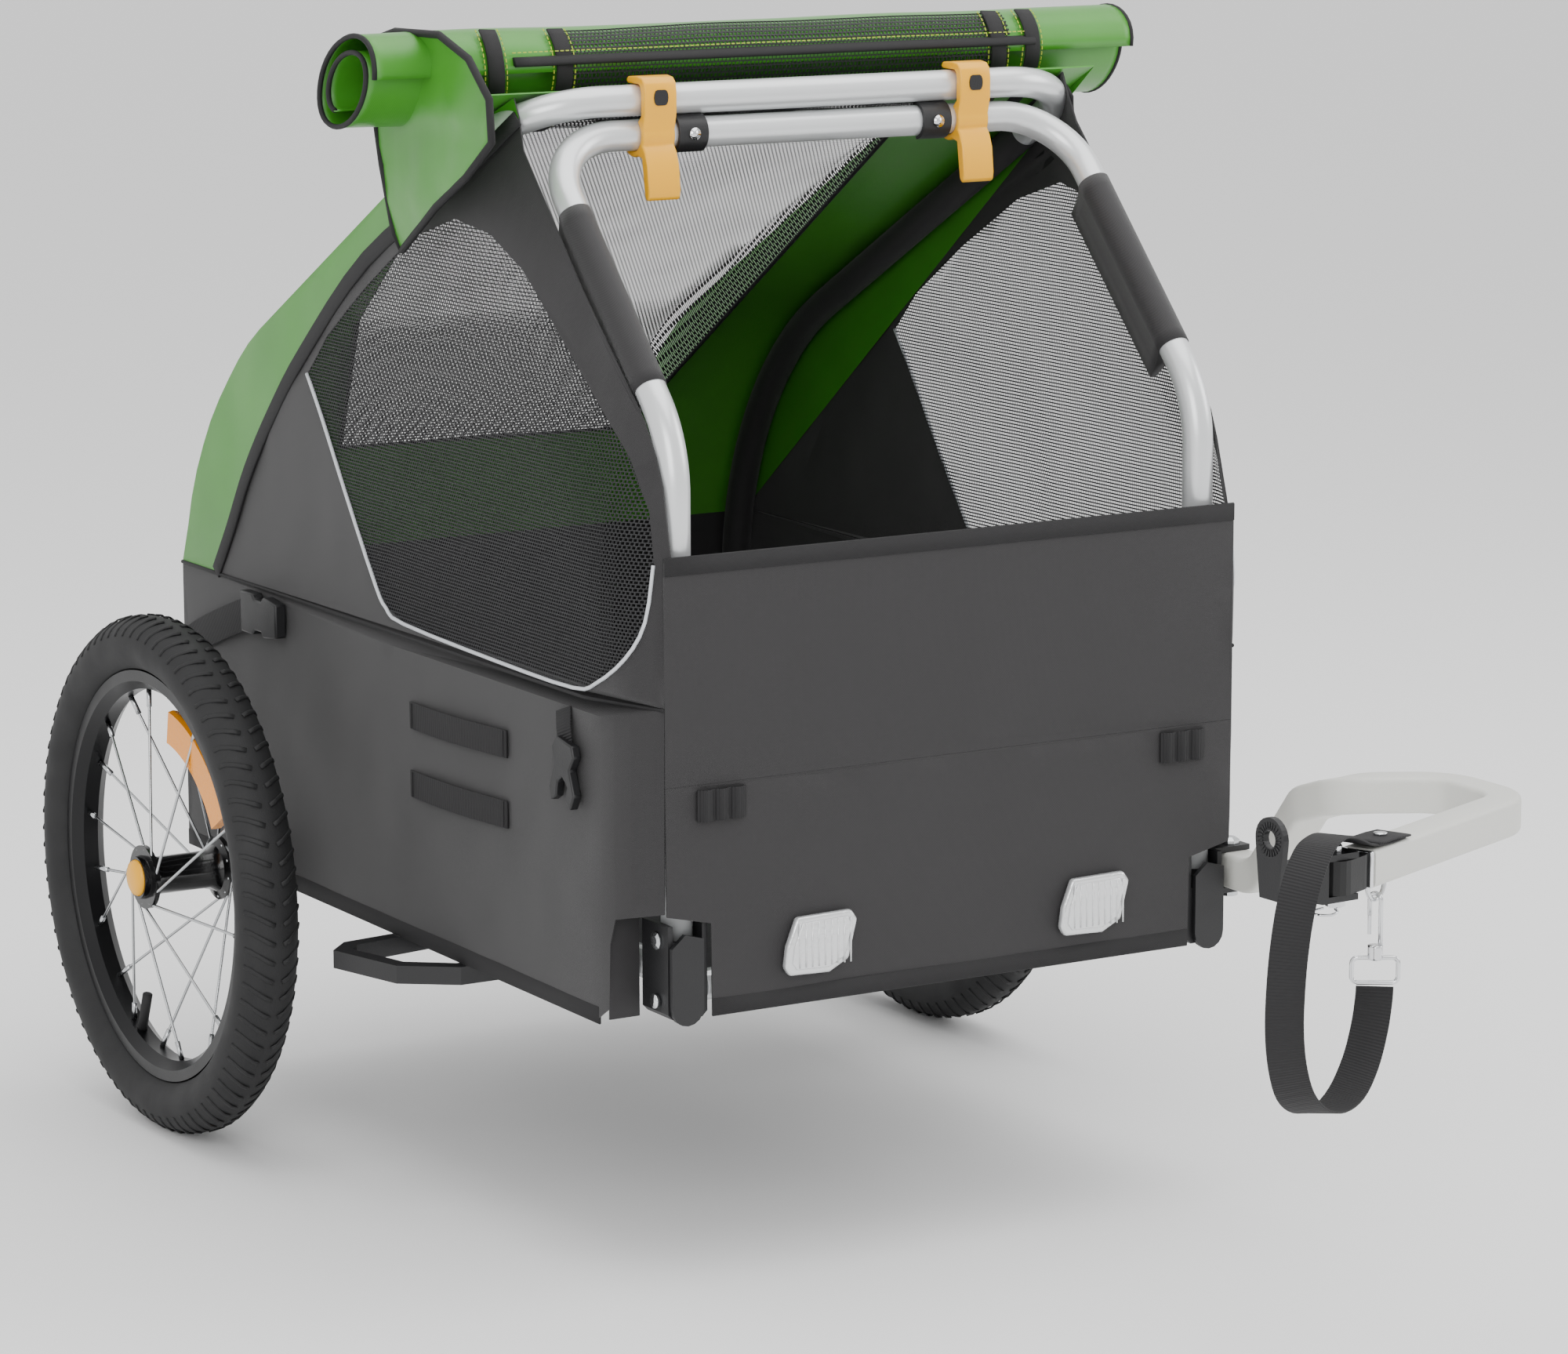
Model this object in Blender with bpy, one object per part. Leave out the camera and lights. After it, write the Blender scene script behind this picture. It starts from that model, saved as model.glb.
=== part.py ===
"""Two-wheel child and cargo bicycle trailer with a folding hoop frame and a one-sided tow bar.

Frame of reference: metres, +Z up. The ground is Z = 0, the wheel axle lies along X at Y = 0,
-Y is the way the trailer is towed, and +X is the trailer's own left side.
"""
import math

import bmesh
import bpy
from mathutils import Matrix, Vector

# ---- driving sizes -------------------------------------------------------------------------
GAP = 0.0003                  # running gap between pieces that touch

WHEEL_RADIUS = 0.200          # 16 x 1.75 tyre
TYRE_WIDTH = 0.047
RIM_RADIUS = 0.1585
RIM_INNER_RADIUS = 0.1435
RIM_WIDTH = 0.027
HALF_TRACK = 0.344            # trailer centre to tyre centre
SPOKES_PER_SIDE = 10
SPOKE_RADIUS = 0.0010
FLANGE_RADIUS = 0.0245
BARREL_RADIUS = 0.0145
FLANGE_OUT = 0.018            # outer flange, outboard of the tyre centre
FLANGE_IN = -0.044            # inner flange, inboard of it
AXLE_PIN_RADIUS = 0.0060
BUTTON_RADIUS = 0.0140
BUTTON_TRAVEL = 0.004

TUBE_RADIUS = 0.0111          # 22.2 mm frame tube
BEAM_RADIUS = 0.0143          # axle beam
RECEIVER_RADIUS = 0.0170
RAIL_X = 0.2205
FRONT_Y = -0.566              # front hoop pivots
REAR_Y = 0.135                # rear hoop pivots
PIVOT_Z = 0.250
LUG = 0.0040                  # bracket ear thickness
HOOP_SIDE_GAP = 0.0004        # hoop foot to bracket ear

FRONT_HOOP_X = 0.2165
REAR_HOOP_X = FRONT_HOOP_X + 2 * TUBE_RADIUS + 0.0018
CROSSBAR_Y = -0.383
FRONT_CROSSBAR_Z = 0.785
CROSSBAR_RISE = 2 * TUBE_RADIUS + 0.0023   # rear crossbar above front crossbar
FRONT_ELBOW_Z = 0.594
FRONT_ELBOW_BEND = 0.090
FRONT_CORNER_BEND = 0.055
REAR_CORNER_BEND = 0.070
REAR_ARCH_RADIUS = 0.280
REAR_ARCH_TURN = math.radians(61.2)

CLOTH = 0.0025                # thickness of a fabric wall with its lining
PANEL_TOP_Z = 0.517           # top hem of the front panel
PANEL_FOLD_Z = 0.360          # the front panel crumples above this
SEAM_Z = 0.415                # seam between side panel and side window
SIDE_BOTTOM_Z = 0.186
FLOOR_THICKNESS = 0.004

LATCH_X = 0.1315
LATCH_WIDTH = 0.026
SADDLE_X = 0.102
SADDLE_WIDTH = 0.024
REFLECTOR_X = 0.1146
REFLECTOR_Z = 0.2390
REFLECTOR_DEPTH = 0.0080

TOW_BAR_SIZE = 0.0260         # square tube
TOW_PIVOT_Y = FRONT_Y + 0.006
TOW_PIVOT_Z = PIVOT_Z + 0.0072 - TOW_BAR_SIZE / 2
TOW_BUTT = 0.012              # bar end behind its pivot
TOW_BOLT_RADIUS = 0.0040
HITCH_PIN_RADIUS = 0.0040


# ---- scene and small tools -----------------------------------------------------------------
for old in list(bpy.data.objects):
    bpy.data.objects.remove(old, do_unlink=True)


def finish(name, colour, roughness, metallic):
    """A plain material for one kind of part."""
    material = bpy.data.materials.get(name)
    if material is None:
        material = bpy.data.materials.new(name)
        material.use_nodes = True
        shader = material.node_tree.nodes["Principled BSDF"]
        shader.inputs["Base Color"].default_value = (*colour, 1.0)
        shader.inputs["Roughness"].default_value = roughness
        shader.inputs["Metallic"].default_value = metallic
    return material


SILVER = finish("satin aluminium tube", (0.62, 0.63, 0.64), 0.38, 0.85)
BAR_GREY = finish("painted tow bar", (0.56, 0.56, 0.53), 0.45, 0.1)
BLACK = finish("black moulded plastic", (0.035, 0.035, 0.037), 0.45, 0.0)
YELLOW = finish("yellow moulded plastic", (0.90, 0.42, 0.02), 0.40, 0.0)
CLOTH_BLACK = finish("black pack cloth", (0.035, 0.033, 0.035), 0.85, 0.0)
CLOTH_GREEN = finish("green coated cloth", (0.10, 0.30, 0.05), 0.50, 0.0)
CLEAR = finish("clear reflector", (0.75, 0.75, 0.75), 0.15, 0.0)
RUBBER = finish("tyre rubber", (0.03, 0.03, 0.03), 0.75, 0.0)
GLOSS = finish("gloss black hub", (0.01, 0.01, 0.01), 0.15, 0.0)
STEEL = finish("zinc plated steel", (0.70, 0.70, 0.70), 0.25, 1.0)


def emit(name, mesh_data, material, round_edge=None):
    """Turn a bmesh into a named object with outward faces and one material."""
    bmesh.ops.recalc_face_normals(mesh_data, faces=mesh_data.faces)
    mesh = bpy.data.meshes.new(name)
    mesh_data.to_mesh(mesh)
    mesh_data.free()
    mesh.materials.append(material)
    made = bpy.data.objects.new(name, mesh)
    bpy.context.scene.collection.objects.link(made)
    if round_edge:
        bevel = made.modifiers.new("edge", "BEVEL")
        bevel.width = round_edge
        bevel.segments = 1
        bevel.limit_method = "ANGLE"
        bevel.angle_limit = math.radians(50)
    return made


def rings_to_mesh(rings, closed):
    """Join rings of points into a skin; closed joins the last ring to the first."""
    data = bmesh.new()
    loops = [[data.verts.new(point) for point in ring] for ring in rings]
    count = len(loops[0])
    last = len(loops) if closed else len(loops) - 1
    for i in range(last):
        low = loops[i]
        high = loops[(i + 1) % len(loops)]
        for j in range(count):
            k = (j + 1) % count
            data.faces.new((low[j], low[k], high[k], high[j]))
    if not closed:
        data.faces.new(loops[0])
        data.faces.new(loops[-1])
    return data


def filleted(points, radii, steps):
    """A polyline whose inner corners are rounded with the given radii."""
    path = [Vector(points[0])]
    for i in range(1, len(points) - 1):
        here = Vector(points[i])
        back = (Vector(points[i - 1]) - here).normalized()
        ahead = (Vector(points[i + 1]) - here).normalized()
        half = back.angle(ahead) / 2
        centre = here + (back + ahead).normalized() * radii[i - 1] / math.sin(half)
        reach = radii[i - 1] / math.tan(half)
        for step in range(steps + 1):
            along = step / steps
            chord = (here + back * reach).lerp(here + ahead * reach, along)
            path.append(centre + (chord - centre).normalized() * radii[i - 1])
    path.append(Vector(points[-1]))
    return path


def tube(name, path, radius, material, sides=12, foot=0.0):
    """A round bar along a path; foot shortens and narrows both ends to clear a bracket."""
    frames = []
    side = None
    for i, point in enumerate(path):
        before = path[max(i - 1, 0)]
        after = path[min(i + 1, len(path) - 1)]
        forward = (after - before).normalized()
        if side is None:
            side = forward.orthogonal().normalized()
        side = (side - forward * side.dot(forward)).normalized()
        frames.append((point, side, forward.cross(side), radius))
    if foot:
        start = (path[0] - path[1]).normalized()
        end = (path[-1] - path[-2]).normalized()
        first = frames[0]
        final = frames[-1]
        frames.insert(0, (first[0] + start * foot, first[1], first[2], radius * 0.70))
        frames.append((final[0] + end * foot, final[1], final[2], radius * 0.70))
    rings = []
    for point, across, up, size in frames:
        ring = []
        for j in range(sides):
            turn = 2 * math.pi * j / sides
            ring.append(point + across * size * math.cos(turn) + up * size * math.sin(turn))
        rings.append(ring)
    return emit(name, rings_to_mesh(rings, False), material)


def box(name, low, high, material, round_edge=None):
    """A block from its lowest to its highest corner."""
    data = bmesh.new()
    bmesh.ops.create_cube(data, size=1.0)
    size = Vector(high) - Vector(low)
    bmesh.ops.scale(data, vec=size, verts=data.verts)
    bmesh.ops.translate(data, vec=(Vector(high) + Vector(low)) / 2, verts=data.verts)
    return emit(name, data, material, round_edge)


def slab(name, outline, axis, start, end, material, round_edge=None):
    """An outline in the plane across an axis, pushed from start to end along that axis.

    The outline is in the other two axes in X, Y, Z order.
    """
    rings = []
    for place in (start, end):
        ring = []
        for first, second in outline:
            point = [first, second]
            point.insert(axis, place)
            ring.append(Vector(point))
        rings.append(ring)
    return emit(name, rings_to_mesh(rings, False), material, round_edge)


def turned(name, profile, centre, material, sides=32, direction=1.0, ring=True):
    """A profile of (along X, radius) points turned about the X line through centre.

    ring closes the profile on itself; otherwise its ends are capped on the axis.
    """
    rings = []
    for along, radius in profile:
        loop = []
        for j in range(sides):
            turn = 2 * math.pi * j / sides
            loop.append(centre + Vector((direction * along, radius * math.cos(turn),
                                         radius * math.sin(turn))))
        rings.append(loop)
    return emit(name, rings_to_mesh(rings, ring), material)


def gathered(name, pieces, material):
    """Like pieces in one mesh, ready to be welded onto something."""
    data = bmesh.new()
    for piece in pieces:
        data.from_mesh(piece.data)
        bpy.data.objects.remove(piece, do_unlink=True)
    return emit(name, data, material)


def fused(target, other):
    """Weld a second solid onto a piece."""
    weld = target.modifiers.new("weld " + other.name, "BOOLEAN")
    weld.operation = "UNION"
    weld.solver = "EXACT"
    weld.object = other
    other.hide_render = True
    other.display_type = "WIRE"


def bored(target, name, start, end, radius):
    """Cut a round hole through a piece."""
    cutter = tube(name, [Vector(start), Vector(end)], radius, BLACK, sides=16)
    cutter.hide_render = True
    cutter.display_type = "WIRE"
    hole = target.modifiers.new(name, "BOOLEAN")
    hole.operation = "DIFFERENCE"
    hole.solver = "EXACT"
    hole.object = cutter
    return cutter


def arc(centre, radius, first, last, steps):
    """Points on an arc in a plane, angles in degrees."""
    points = []
    for step in range(steps + 1):
        turn = math.radians(first + (last - first) * step / steps)
        points.append((centre[0] + radius * math.cos(turn), centre[1] + radius * math.sin(turn)))
    return points


def solid_cutters():
    """The hole cutters are tools, not pieces, so they leave once their holes are cut."""
    graph = bpy.context.evaluated_depsgraph_get()
    drilled = [item for item in bpy.data.objects if any(m.type == "BOOLEAN" for m in item.modifiers)]
    cutters = {m.object for item in drilled for m in item.modifiers if m.type == "BOOLEAN"}
    for item in drilled:
        finished = bpy.data.meshes.new_from_object(item.evaluated_get(graph))
        item.modifiers.clear()
        item.data = finished
    for cutter in cutters:
        bpy.data.objects.remove(cutter, do_unlink=True)


SIDES = (("right", -1.0), ("left", 1.0))

# ---- lower frame: rails, cross tubes, axle beam, floor --------------------------------------
rail_z = WHEEL_RADIUS + BEAM_RADIUS + GAP + TUBE_RADIUS
bracket_half = TUBE_RADIUS + HOOP_SIDE_GAP + LUG
bracket_low = 0.196
bracket_top = 0.262
bracket_shelf = PIVOT_Z - 0.0125
front_block = (FRONT_Y - 0.015, FRONT_Y + 0.021)
rear_block = (REAR_Y - 0.021, REAR_Y + 0.0110)
cross_z = 0.216
front_inside = FRONT_HOOP_X - bracket_half
rear_inside = RAIL_X - TUBE_RADIUS - 0.0045
front_cross_y = FRONT_Y - 0.0056
side_in = REAR_HOOP_X + bracket_half + GAP
side_out = side_in + CLOTH
panel_back = front_cross_y - TUBE_RADIUS - GAP
panel_face = panel_back - CLOTH

for side, sign in SIDES:
    rail = [Vector((sign * RAIL_X, front_block[1] + GAP, rail_z)),
            Vector((sign * RAIL_X, rear_block[0] - GAP, rail_z))]
    tube("frame_rail_" + side, rail, TUBE_RADIUS, SILVER, sides=16)

reach = front_inside - GAP
tube("front_cross_tube", [Vector((-reach, front_cross_y, cross_z)), Vector((reach, front_cross_y, cross_z))],
     TUBE_RADIUS, SILVER, sides=16)
reach = rear_inside - GAP
tube("rear_cross_tube", [Vector((-reach, REAR_Y, cross_z)), Vector((reach, REAR_Y, cross_z))],
     TUBE_RADIUS, SILVER, sides=16)
beam_reach = side_in - GAP
tube("axle_beam", [Vector((-beam_reach, 0, WHEEL_RADIUS)), Vector((beam_reach, 0, WHEEL_RADIUS))],
     BEAM_RADIUS, SILVER, sides=16)

floor_low = WHEEL_RADIUS + BEAM_RADIUS + GAP
floor_x = min(RAIL_X - TUBE_RADIUS, front_inside) - 0.001
box("floor_panel", (-floor_x, front_cross_y + TUBE_RADIUS + 0.002, floor_low),
    (floor_x, REAR_Y - TUBE_RADIUS - 0.002, floor_low + FLOOR_THICKNESS), CLOTH_BLACK)


# ---- corner brackets with the hoop pivots ---------------------------------------------------
def bracket_outline(centre, inner):
    """A block with two ears, seen from the front; inner is its inboard edge at the base."""
    slot = TUBE_RADIUS + HOOP_SIDE_GAP
    outer = centre + bracket_half
    return [(inner, bracket_low + 0.004), (inner + 0.004, bracket_low), (outer - 0.004, bracket_low),
            (outer, bracket_low + 0.004), (outer, bracket_top), (centre + slot, bracket_top),
            (centre + slot, bracket_shelf), (centre - slot, bracket_shelf),
            (centre - slot, bracket_top), (centre - bracket_half, bracket_top),
            (centre - bracket_half, bracket_shelf - 0.002), (inner, bracket_shelf - 0.002)]


PIVOT_BOLT_RADIUS = 0.0030
BOLT_HEAD = 0.0065
LOW_HEAD = 0.0025


def bolt(name, start, end, radius, head_radius, head):
    """A bolt with a domed head at its start and a nut at its end."""
    start = Vector(start)
    end = Vector(end)
    along = (end - start).normalized()
    side = along.orthogonal().normalized()
    up = along.cross(side)
    stations = [(start - along * head, head_radius * 0.55), (start - along * head * 0.55, head_radius),
                (start - along * GAP, head_radius), (start - along * GAP, radius),
                (end + along * GAP, radius), (end + along * GAP, head_radius * 0.9),
                (end + along * head * 0.8, head_radius * 0.9)]
    rings = []
    for point, size in stations:
        ring = []
        for j in range(10):
            turn = 2 * math.pi * j / 10
            ring.append(point + side * size * math.cos(turn) + up * size * math.sin(turn))
        rings.append(ring)
    return emit(name, rings_to_mesh(rings, False), STEEL)


for side, sign in SIDES:
    outline = [(sign * x, z) for x, z in bracket_outline(FRONT_HOOP_X, front_inside)]
    front = slab("front_bracket_" + side, outline, 1, front_block[0], front_block[1], BLACK)
    outline = [(sign * x, z) for x, z in bracket_outline(REAR_HOOP_X, rear_inside)]
    rear = slab("rear_bracket_" + side, outline, 1, rear_block[0], rear_block[1], BLACK)
    cover_x = sign * (FRONT_HOOP_X + 0.002)
    plate = [(cover_x - 0.0125, 0.247), (cover_x - 0.0125, 0.204)]
    plate += arc((cover_x, 0.204), 0.0125, 180, 360, 8)[1:]
    plate += [(cover_x + 0.0125, 0.252), (cover_x - 0.002, 0.256)]
    slab("bracket_cover_" + side, plate, 1, front_block[0] - GAP - 0.004, front_block[0] - GAP, BLACK)
    for piece, hoop_x, y in ((front, FRONT_HOOP_X, FRONT_Y), (rear, REAR_HOOP_X, REAR_Y)):
        near = sign * (hoop_x + bracket_half)
        far = sign * (hoop_x - bracket_half)
        bored(piece, "ear hole " + side, (near + sign * 0.01, y, PIVOT_Z), (far - sign * 0.01, y, PIVOT_Z),
              PIVOT_BOLT_RADIUS + GAP)
    near = sign * (FRONT_HOOP_X + bracket_half)
    far = sign * (FRONT_HOOP_X - bracket_half)
    bolt("front_pivot_bolt_" + side, (near, FRONT_Y, PIVOT_Z), (far, FRONT_Y, PIVOT_Z), PIVOT_BOLT_RADIUS,
         BOLT_HEAD, LOW_HEAD)
    far = sign * (REAR_HOOP_X - bracket_half)
    pin = [(0, PIVOT_BOLT_RADIUS), (bracket_half * 2 - 0.001, PIVOT_BOLT_RADIUS)]
    turned("rear_pivot_pin_" + side, pin, Vector((far + sign * 0.0005, REAR_Y, PIVOT_Z)), STEEL, 10, sign, False)

# the left front bracket also carries a fork whose upright bolt the tow bar swings on
bracket_face = FRONT_HOOP_X + bracket_half
bar_half = TOW_BAR_SIZE / 2
tow_reach = LOW_HEAD + math.hypot(bar_half, TOW_BUTT) + 0.0015
TOW_PIVOT = Vector((bracket_face + tow_reach, TOW_PIVOT_Y, TOW_PIVOT_Z))
tow_bracket = bpy.data.objects["front_bracket_left"]
for level in (bar_half + GAP, -bar_half - GAP - LUG):
    plate = box("fork plate", (bracket_face - 0.001, TOW_PIVOT_Y - 0.010, TOW_PIVOT_Z + level),
                (TOW_PIVOT.x + 0.011, TOW_PIVOT_Y + 0.010, TOW_PIVOT_Z + level + LUG), BLACK)
    fused(tow_bracket, plate)
tow_top = TOW_PIVOT + Vector((0, 0, bar_half + GAP + LUG))
tow_base = TOW_PIVOT - Vector((0, 0, bar_half + GAP + LUG))
bored(tow_bracket, "tow fork hole", tow_base - Vector((0, 0, 0.01)), tow_top + Vector((0, 0, 0.01)),
      TOW_BOLT_RADIUS + GAP)
bolt("tow_pivot_bolt", tow_top, tow_base, TOW_BOLT_RADIUS, 0.0075, 0.005)

# ---- hoops ----------------------------------------------------------------------------------
rear_crossbar_z = FRONT_CROSSBAR_Z + CROSSBAR_RISE
foot_drop = 0.0070


def across(profile):
    """Both sides of a hoop from its (x, y, z) side points, right foot to left foot."""
    return [(-x, y, z) for x, y, z in profile] + [(x, y, z) for x, y, z in reversed(profile)]


front_side = [(FRONT_HOOP_X, FRONT_Y, PIVOT_Z), (FRONT_HOOP_X, FRONT_Y, FRONT_ELBOW_Z),
              (FRONT_HOOP_X, CROSSBAR_Y, FRONT_CROSSBAR_Z)]
front_radii = [FRONT_ELBOW_BEND, FRONT_CORNER_BEND, FRONT_CORNER_BEND, FRONT_ELBOW_BEND]
front_hoop = tube("front_hoop", filleted(across(front_side), front_radii, 6), TUBE_RADIUS, SILVER,
                  sides=14, foot=foot_drop)

slope = math.pi / 2 - REAR_ARCH_TURN
arch_end_y = REAR_Y - REAR_ARCH_RADIUS * (1 - math.cos(REAR_ARCH_TURN))
arch_end_z = rear_crossbar_z - (arch_end_y - CROSSBAR_Y) * math.tan(slope)
arch_start_z = arch_end_z - REAR_ARCH_RADIUS * math.sin(REAR_ARCH_TURN)
tangent = REAR_ARCH_RADIUS * math.tan(REAR_ARCH_TURN / 2)
rear_side = [(REAR_HOOP_X, REAR_Y, PIVOT_Z), (REAR_HOOP_X, REAR_Y, arch_start_z + tangent),
             (REAR_HOOP_X, CROSSBAR_Y, rear_crossbar_z)]
rear_radii = [REAR_ARCH_RADIUS, REAR_CORNER_BEND, REAR_CORNER_BEND, REAR_ARCH_RADIUS]
rear_hoop = tube("rear_hoop", filleted(across(rear_side), rear_radii, 8), TUBE_RADIUS, SILVER,
                 sides=14, foot=foot_drop)
for side, sign in SIDES:
    for hoop, x, y in ((front_hoop, FRONT_HOOP_X, FRONT_Y), (rear_hoop, REAR_HOOP_X, REAR_Y)):
        bored(hoop, "foot hole " + side, (sign * (x - 0.02), y, PIVOT_Z), (sign * (x + 0.02), y, PIVOT_Z),
              PIVOT_BOLT_RADIUS + GAP)

# ---- latches, saddle clips and their rivets on the front crossbar ---------------------------
BAR = (CROSSBAR_Y, FRONT_CROSSBAR_Z)
clip_in = TUBE_RADIUS + GAP
clip_out = clip_in + 0.0042
hook_inside = CROSSBAR_RISE + TUBE_RADIUS + 0.0006


def seen_from_side(points):
    """Shift points given around the front crossbar to their place."""
    return [(BAR[0] + y, BAR[1] + z) for y, z in points]


for side, sign in SIDES:
    inner = arc((0, 0), clip_in, 320, 125, 14)
    outline = inner + [(-clip_in - 0.0004, 0.014), (-clip_in - 0.0004, hook_inside),
                       (0.0075, hook_inside), (0.0085, hook_inside + 0.0040), (-0.006, hook_inside + 0.0055),
                       (-clip_out - 0.0015, hook_inside + 0.001), (-clip_out - 0.0022, 0.016)]
    outline += arc((0, 0), clip_out, 165, 205, 3)
    outline += [(-clip_out - 0.0055, -0.020), (-clip_out - 0.0075, -0.042), (-clip_out - 0.0045, -0.0455),
                (-clip_out - 0.0010, -0.042), (-clip_out + 0.0030, -0.016)]
    outline += arc((0, 0), clip_out, 245, 320, 5)
    middle = sign * LATCH_X
    slab("latch_" + side, seen_from_side(outline), 0, middle - LATCH_WIDTH / 2, middle + LATCH_WIDTH / 2,
         YELLOW)
    saddle = arc((0, 0), clip_in, 250, 110, 8) + arc((0, 0), clip_in + 0.0028, 110, 250, 8)
    middle = sign * SADDLE_X
    clip = slab("saddle_clip_" + side, seen_from_side(saddle), 0, middle - SADDLE_WIDTH / 2,
                middle + SADDLE_WIDTH / 2, BLACK)
    rivet = turned("rivet " + side, [(-0.0015, 0.0042), (0.0012, 0.0042), (0.0022, 0.0022)], Vector((0, 0, 0)),
                   STEEL, 10, 1, False)
    face = Vector((middle, BAR[0] - clip_in - 0.0028, BAR[1]))
    rivet.data.transform(Matrix.Translation(face) @ Matrix.Rotation(-math.pi / 2, 4, "Z"))
    fused(clip, rivet)

# ---- fabric: simple solids for walls, floor sleeve, cover and roll --------------------------
corner_y = -0.530


def side_wall(name, outline, sign):
    """A flat fabric wall with its outline in (y, z)."""
    inner = sign * side_in
    outer = sign * side_out
    return slab(name, outline, 0, inner, outer, CLOTH_BLACK)


notch = RECEIVER_RADIUS + 0.004
back_y = REAR_Y + TUBE_RADIUS + 0.0004
wrap_y = panel_back + 0.004
for side, sign in SIDES:
    lower = [(corner_y, 0.268), (corner_y, SIDE_BOTTOM_Z), (-notch, SIDE_BOTTOM_Z),
             (-notch, WHEEL_RADIUS + notch), (notch, WHEEL_RADIUS + notch), (notch, SIDE_BOTTOM_Z),
             (back_y, SIDE_BOTTOM_Z), (back_y, SEAM_Z), (corner_y, SEAM_Z)]
    side_wall("side_panel_" + side, lower, sign)
    upper = [(-0.575, SEAM_Z + GAP), (back_y, SEAM_Z + GAP), (0.118, 0.470), (0.060, 0.550), (-0.010, 0.620),
             (-0.200, 0.728), (CROSSBAR_Y, rear_crossbar_z + 0.006), (-0.400, FRONT_CROSSBAR_Z), (-0.575, 0.602)]
    side_wall("side_window_" + side, upper, sign)

panel_x = FRONT_HOOP_X + 0.018
lower = [(-0.198, 0.198), (0.198, 0.198), (0.198, 0.262), (panel_x, 0.268), (panel_x, PANEL_FOLD_Z),
         (-panel_x, PANEL_FOLD_Z), (-panel_x, 0.268), (-0.198, 0.262)]
slab("front_panel", lower, 1, panel_face, panel_back, CLOTH_BLACK)
box("front_panel_top", (-panel_x, panel_face, PANEL_FOLD_Z + GAP), (panel_x, panel_back, PANEL_TOP_Z), CLOTH_BLACK)
box("rear_panel", (-side_in, back_y, 0.190), (side_in, back_y + CLOTH, SEAM_Z), CLOTH_BLACK)


def beside_arch(offset, first, steps):
    """The rear hoop's side line moved outwards, from the turn first (0 to 1) to the crossbar."""
    points = []
    centre = (REAR_Y - REAR_ARCH_RADIUS, arch_start_z)
    for step in range(steps + 1):
        turn = REAR_ARCH_TURN * (first + (1 - first) * step / steps)
        points.append((centre[0] + (REAR_ARCH_RADIUS + offset) * math.cos(turn),
                       centre[1] + (REAR_ARCH_RADIUS + offset) * math.sin(turn)))
    hem = 0.0075
    points.append((CROSSBAR_Y + offset * math.cos(REAR_ARCH_TURN) + hem * math.sin(REAR_ARCH_TURN),
                   rear_crossbar_z + offset * math.sin(REAR_ARCH_TURN) - hem * math.cos(REAR_ARCH_TURN)))
    return points


cover_in = TUBE_RADIUS + 2 * GAP
inside = beside_arch(cover_in, 0.185, 8)
outside = beside_arch(cover_in + CLOTH, 0.185, 8)
slab("rear_cover", inside + outside[::-1], 0, -side_in + GAP, side_in - GAP, CLOTH_GREEN)

normal = Vector((math.cos(REAR_ARCH_TURN), math.sin(REAR_ARCH_TURN)))
downhill = Vector((normal[1], -normal[0]))
ROLL_HEIGHT = 0.033
ROLL_DEPTH = 0.052
centre = Vector((CROSSBAR_Y, rear_crossbar_z)) + downhill * 0.060 + normal * (cover_in + CLOTH + GAP + ROLL_HEIGHT)
roll = []
for j in range(16):
    turn = 2 * math.pi * j / 16
    roll.append(tuple(centre + downhill * ROLL_DEPTH * math.cos(turn) + normal * ROLL_HEIGHT * math.sin(turn)))
slab("top_cover_roll", roll, 0, -0.333, 0.300, CLOTH_GREEN)

leg = [Vector((0, FRONT_Y, FRONT_ELBOW_Z)), Vector((0, CROSSBAR_Y, FRONT_CROSSBAR_Z))]
uphill = (leg[1] - leg[0]).normalized()
sleeve_start = leg[0] + uphill * 0.044
sleeve_end = leg[1] - uphill * 0.068
for side, sign in SIDES:
    rings = []
    for point, size in ((sleeve_start, clip_in), (sleeve_end, clip_in), (sleeve_end, clip_in + 0.0011),
                        (sleeve_start, clip_in + 0.0011)):
        ring = []
        for j in range(14):
            turn = 2 * math.pi * j / 14
            out = Vector((math.cos(turn), 0, 0)) + uphill.cross(Vector((1, 0, 0))) * math.sin(turn)
            ring.append(point + Vector((sign * FRONT_HOOP_X, 0, 0)) + out * size)
        rings.append(ring)
    emit("leg_sleeve_" + side, rings_to_mesh(rings, True), CLOTH_BLACK)

# ---- front reflectors -----------------------------------------------------------------------
for side, sign in SIDES:
    shape = [(-0.020, 0.020), (0.024, 0.021), (0.029, 0.014), (0.022, -0.014), (0.006, -0.022),
             (-0.026, -0.021), (-0.030, -0.015), (-0.028, 0.000)]
    outline = [(sign * REFLECTOR_X + x, REFLECTOR_Z + z) for x, z in shape]
    slab("reflector_" + side, outline, 1, panel_face - GAP - REFLECTOR_DEPTH, panel_face - GAP, CLEAR, 0.0015)

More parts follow.
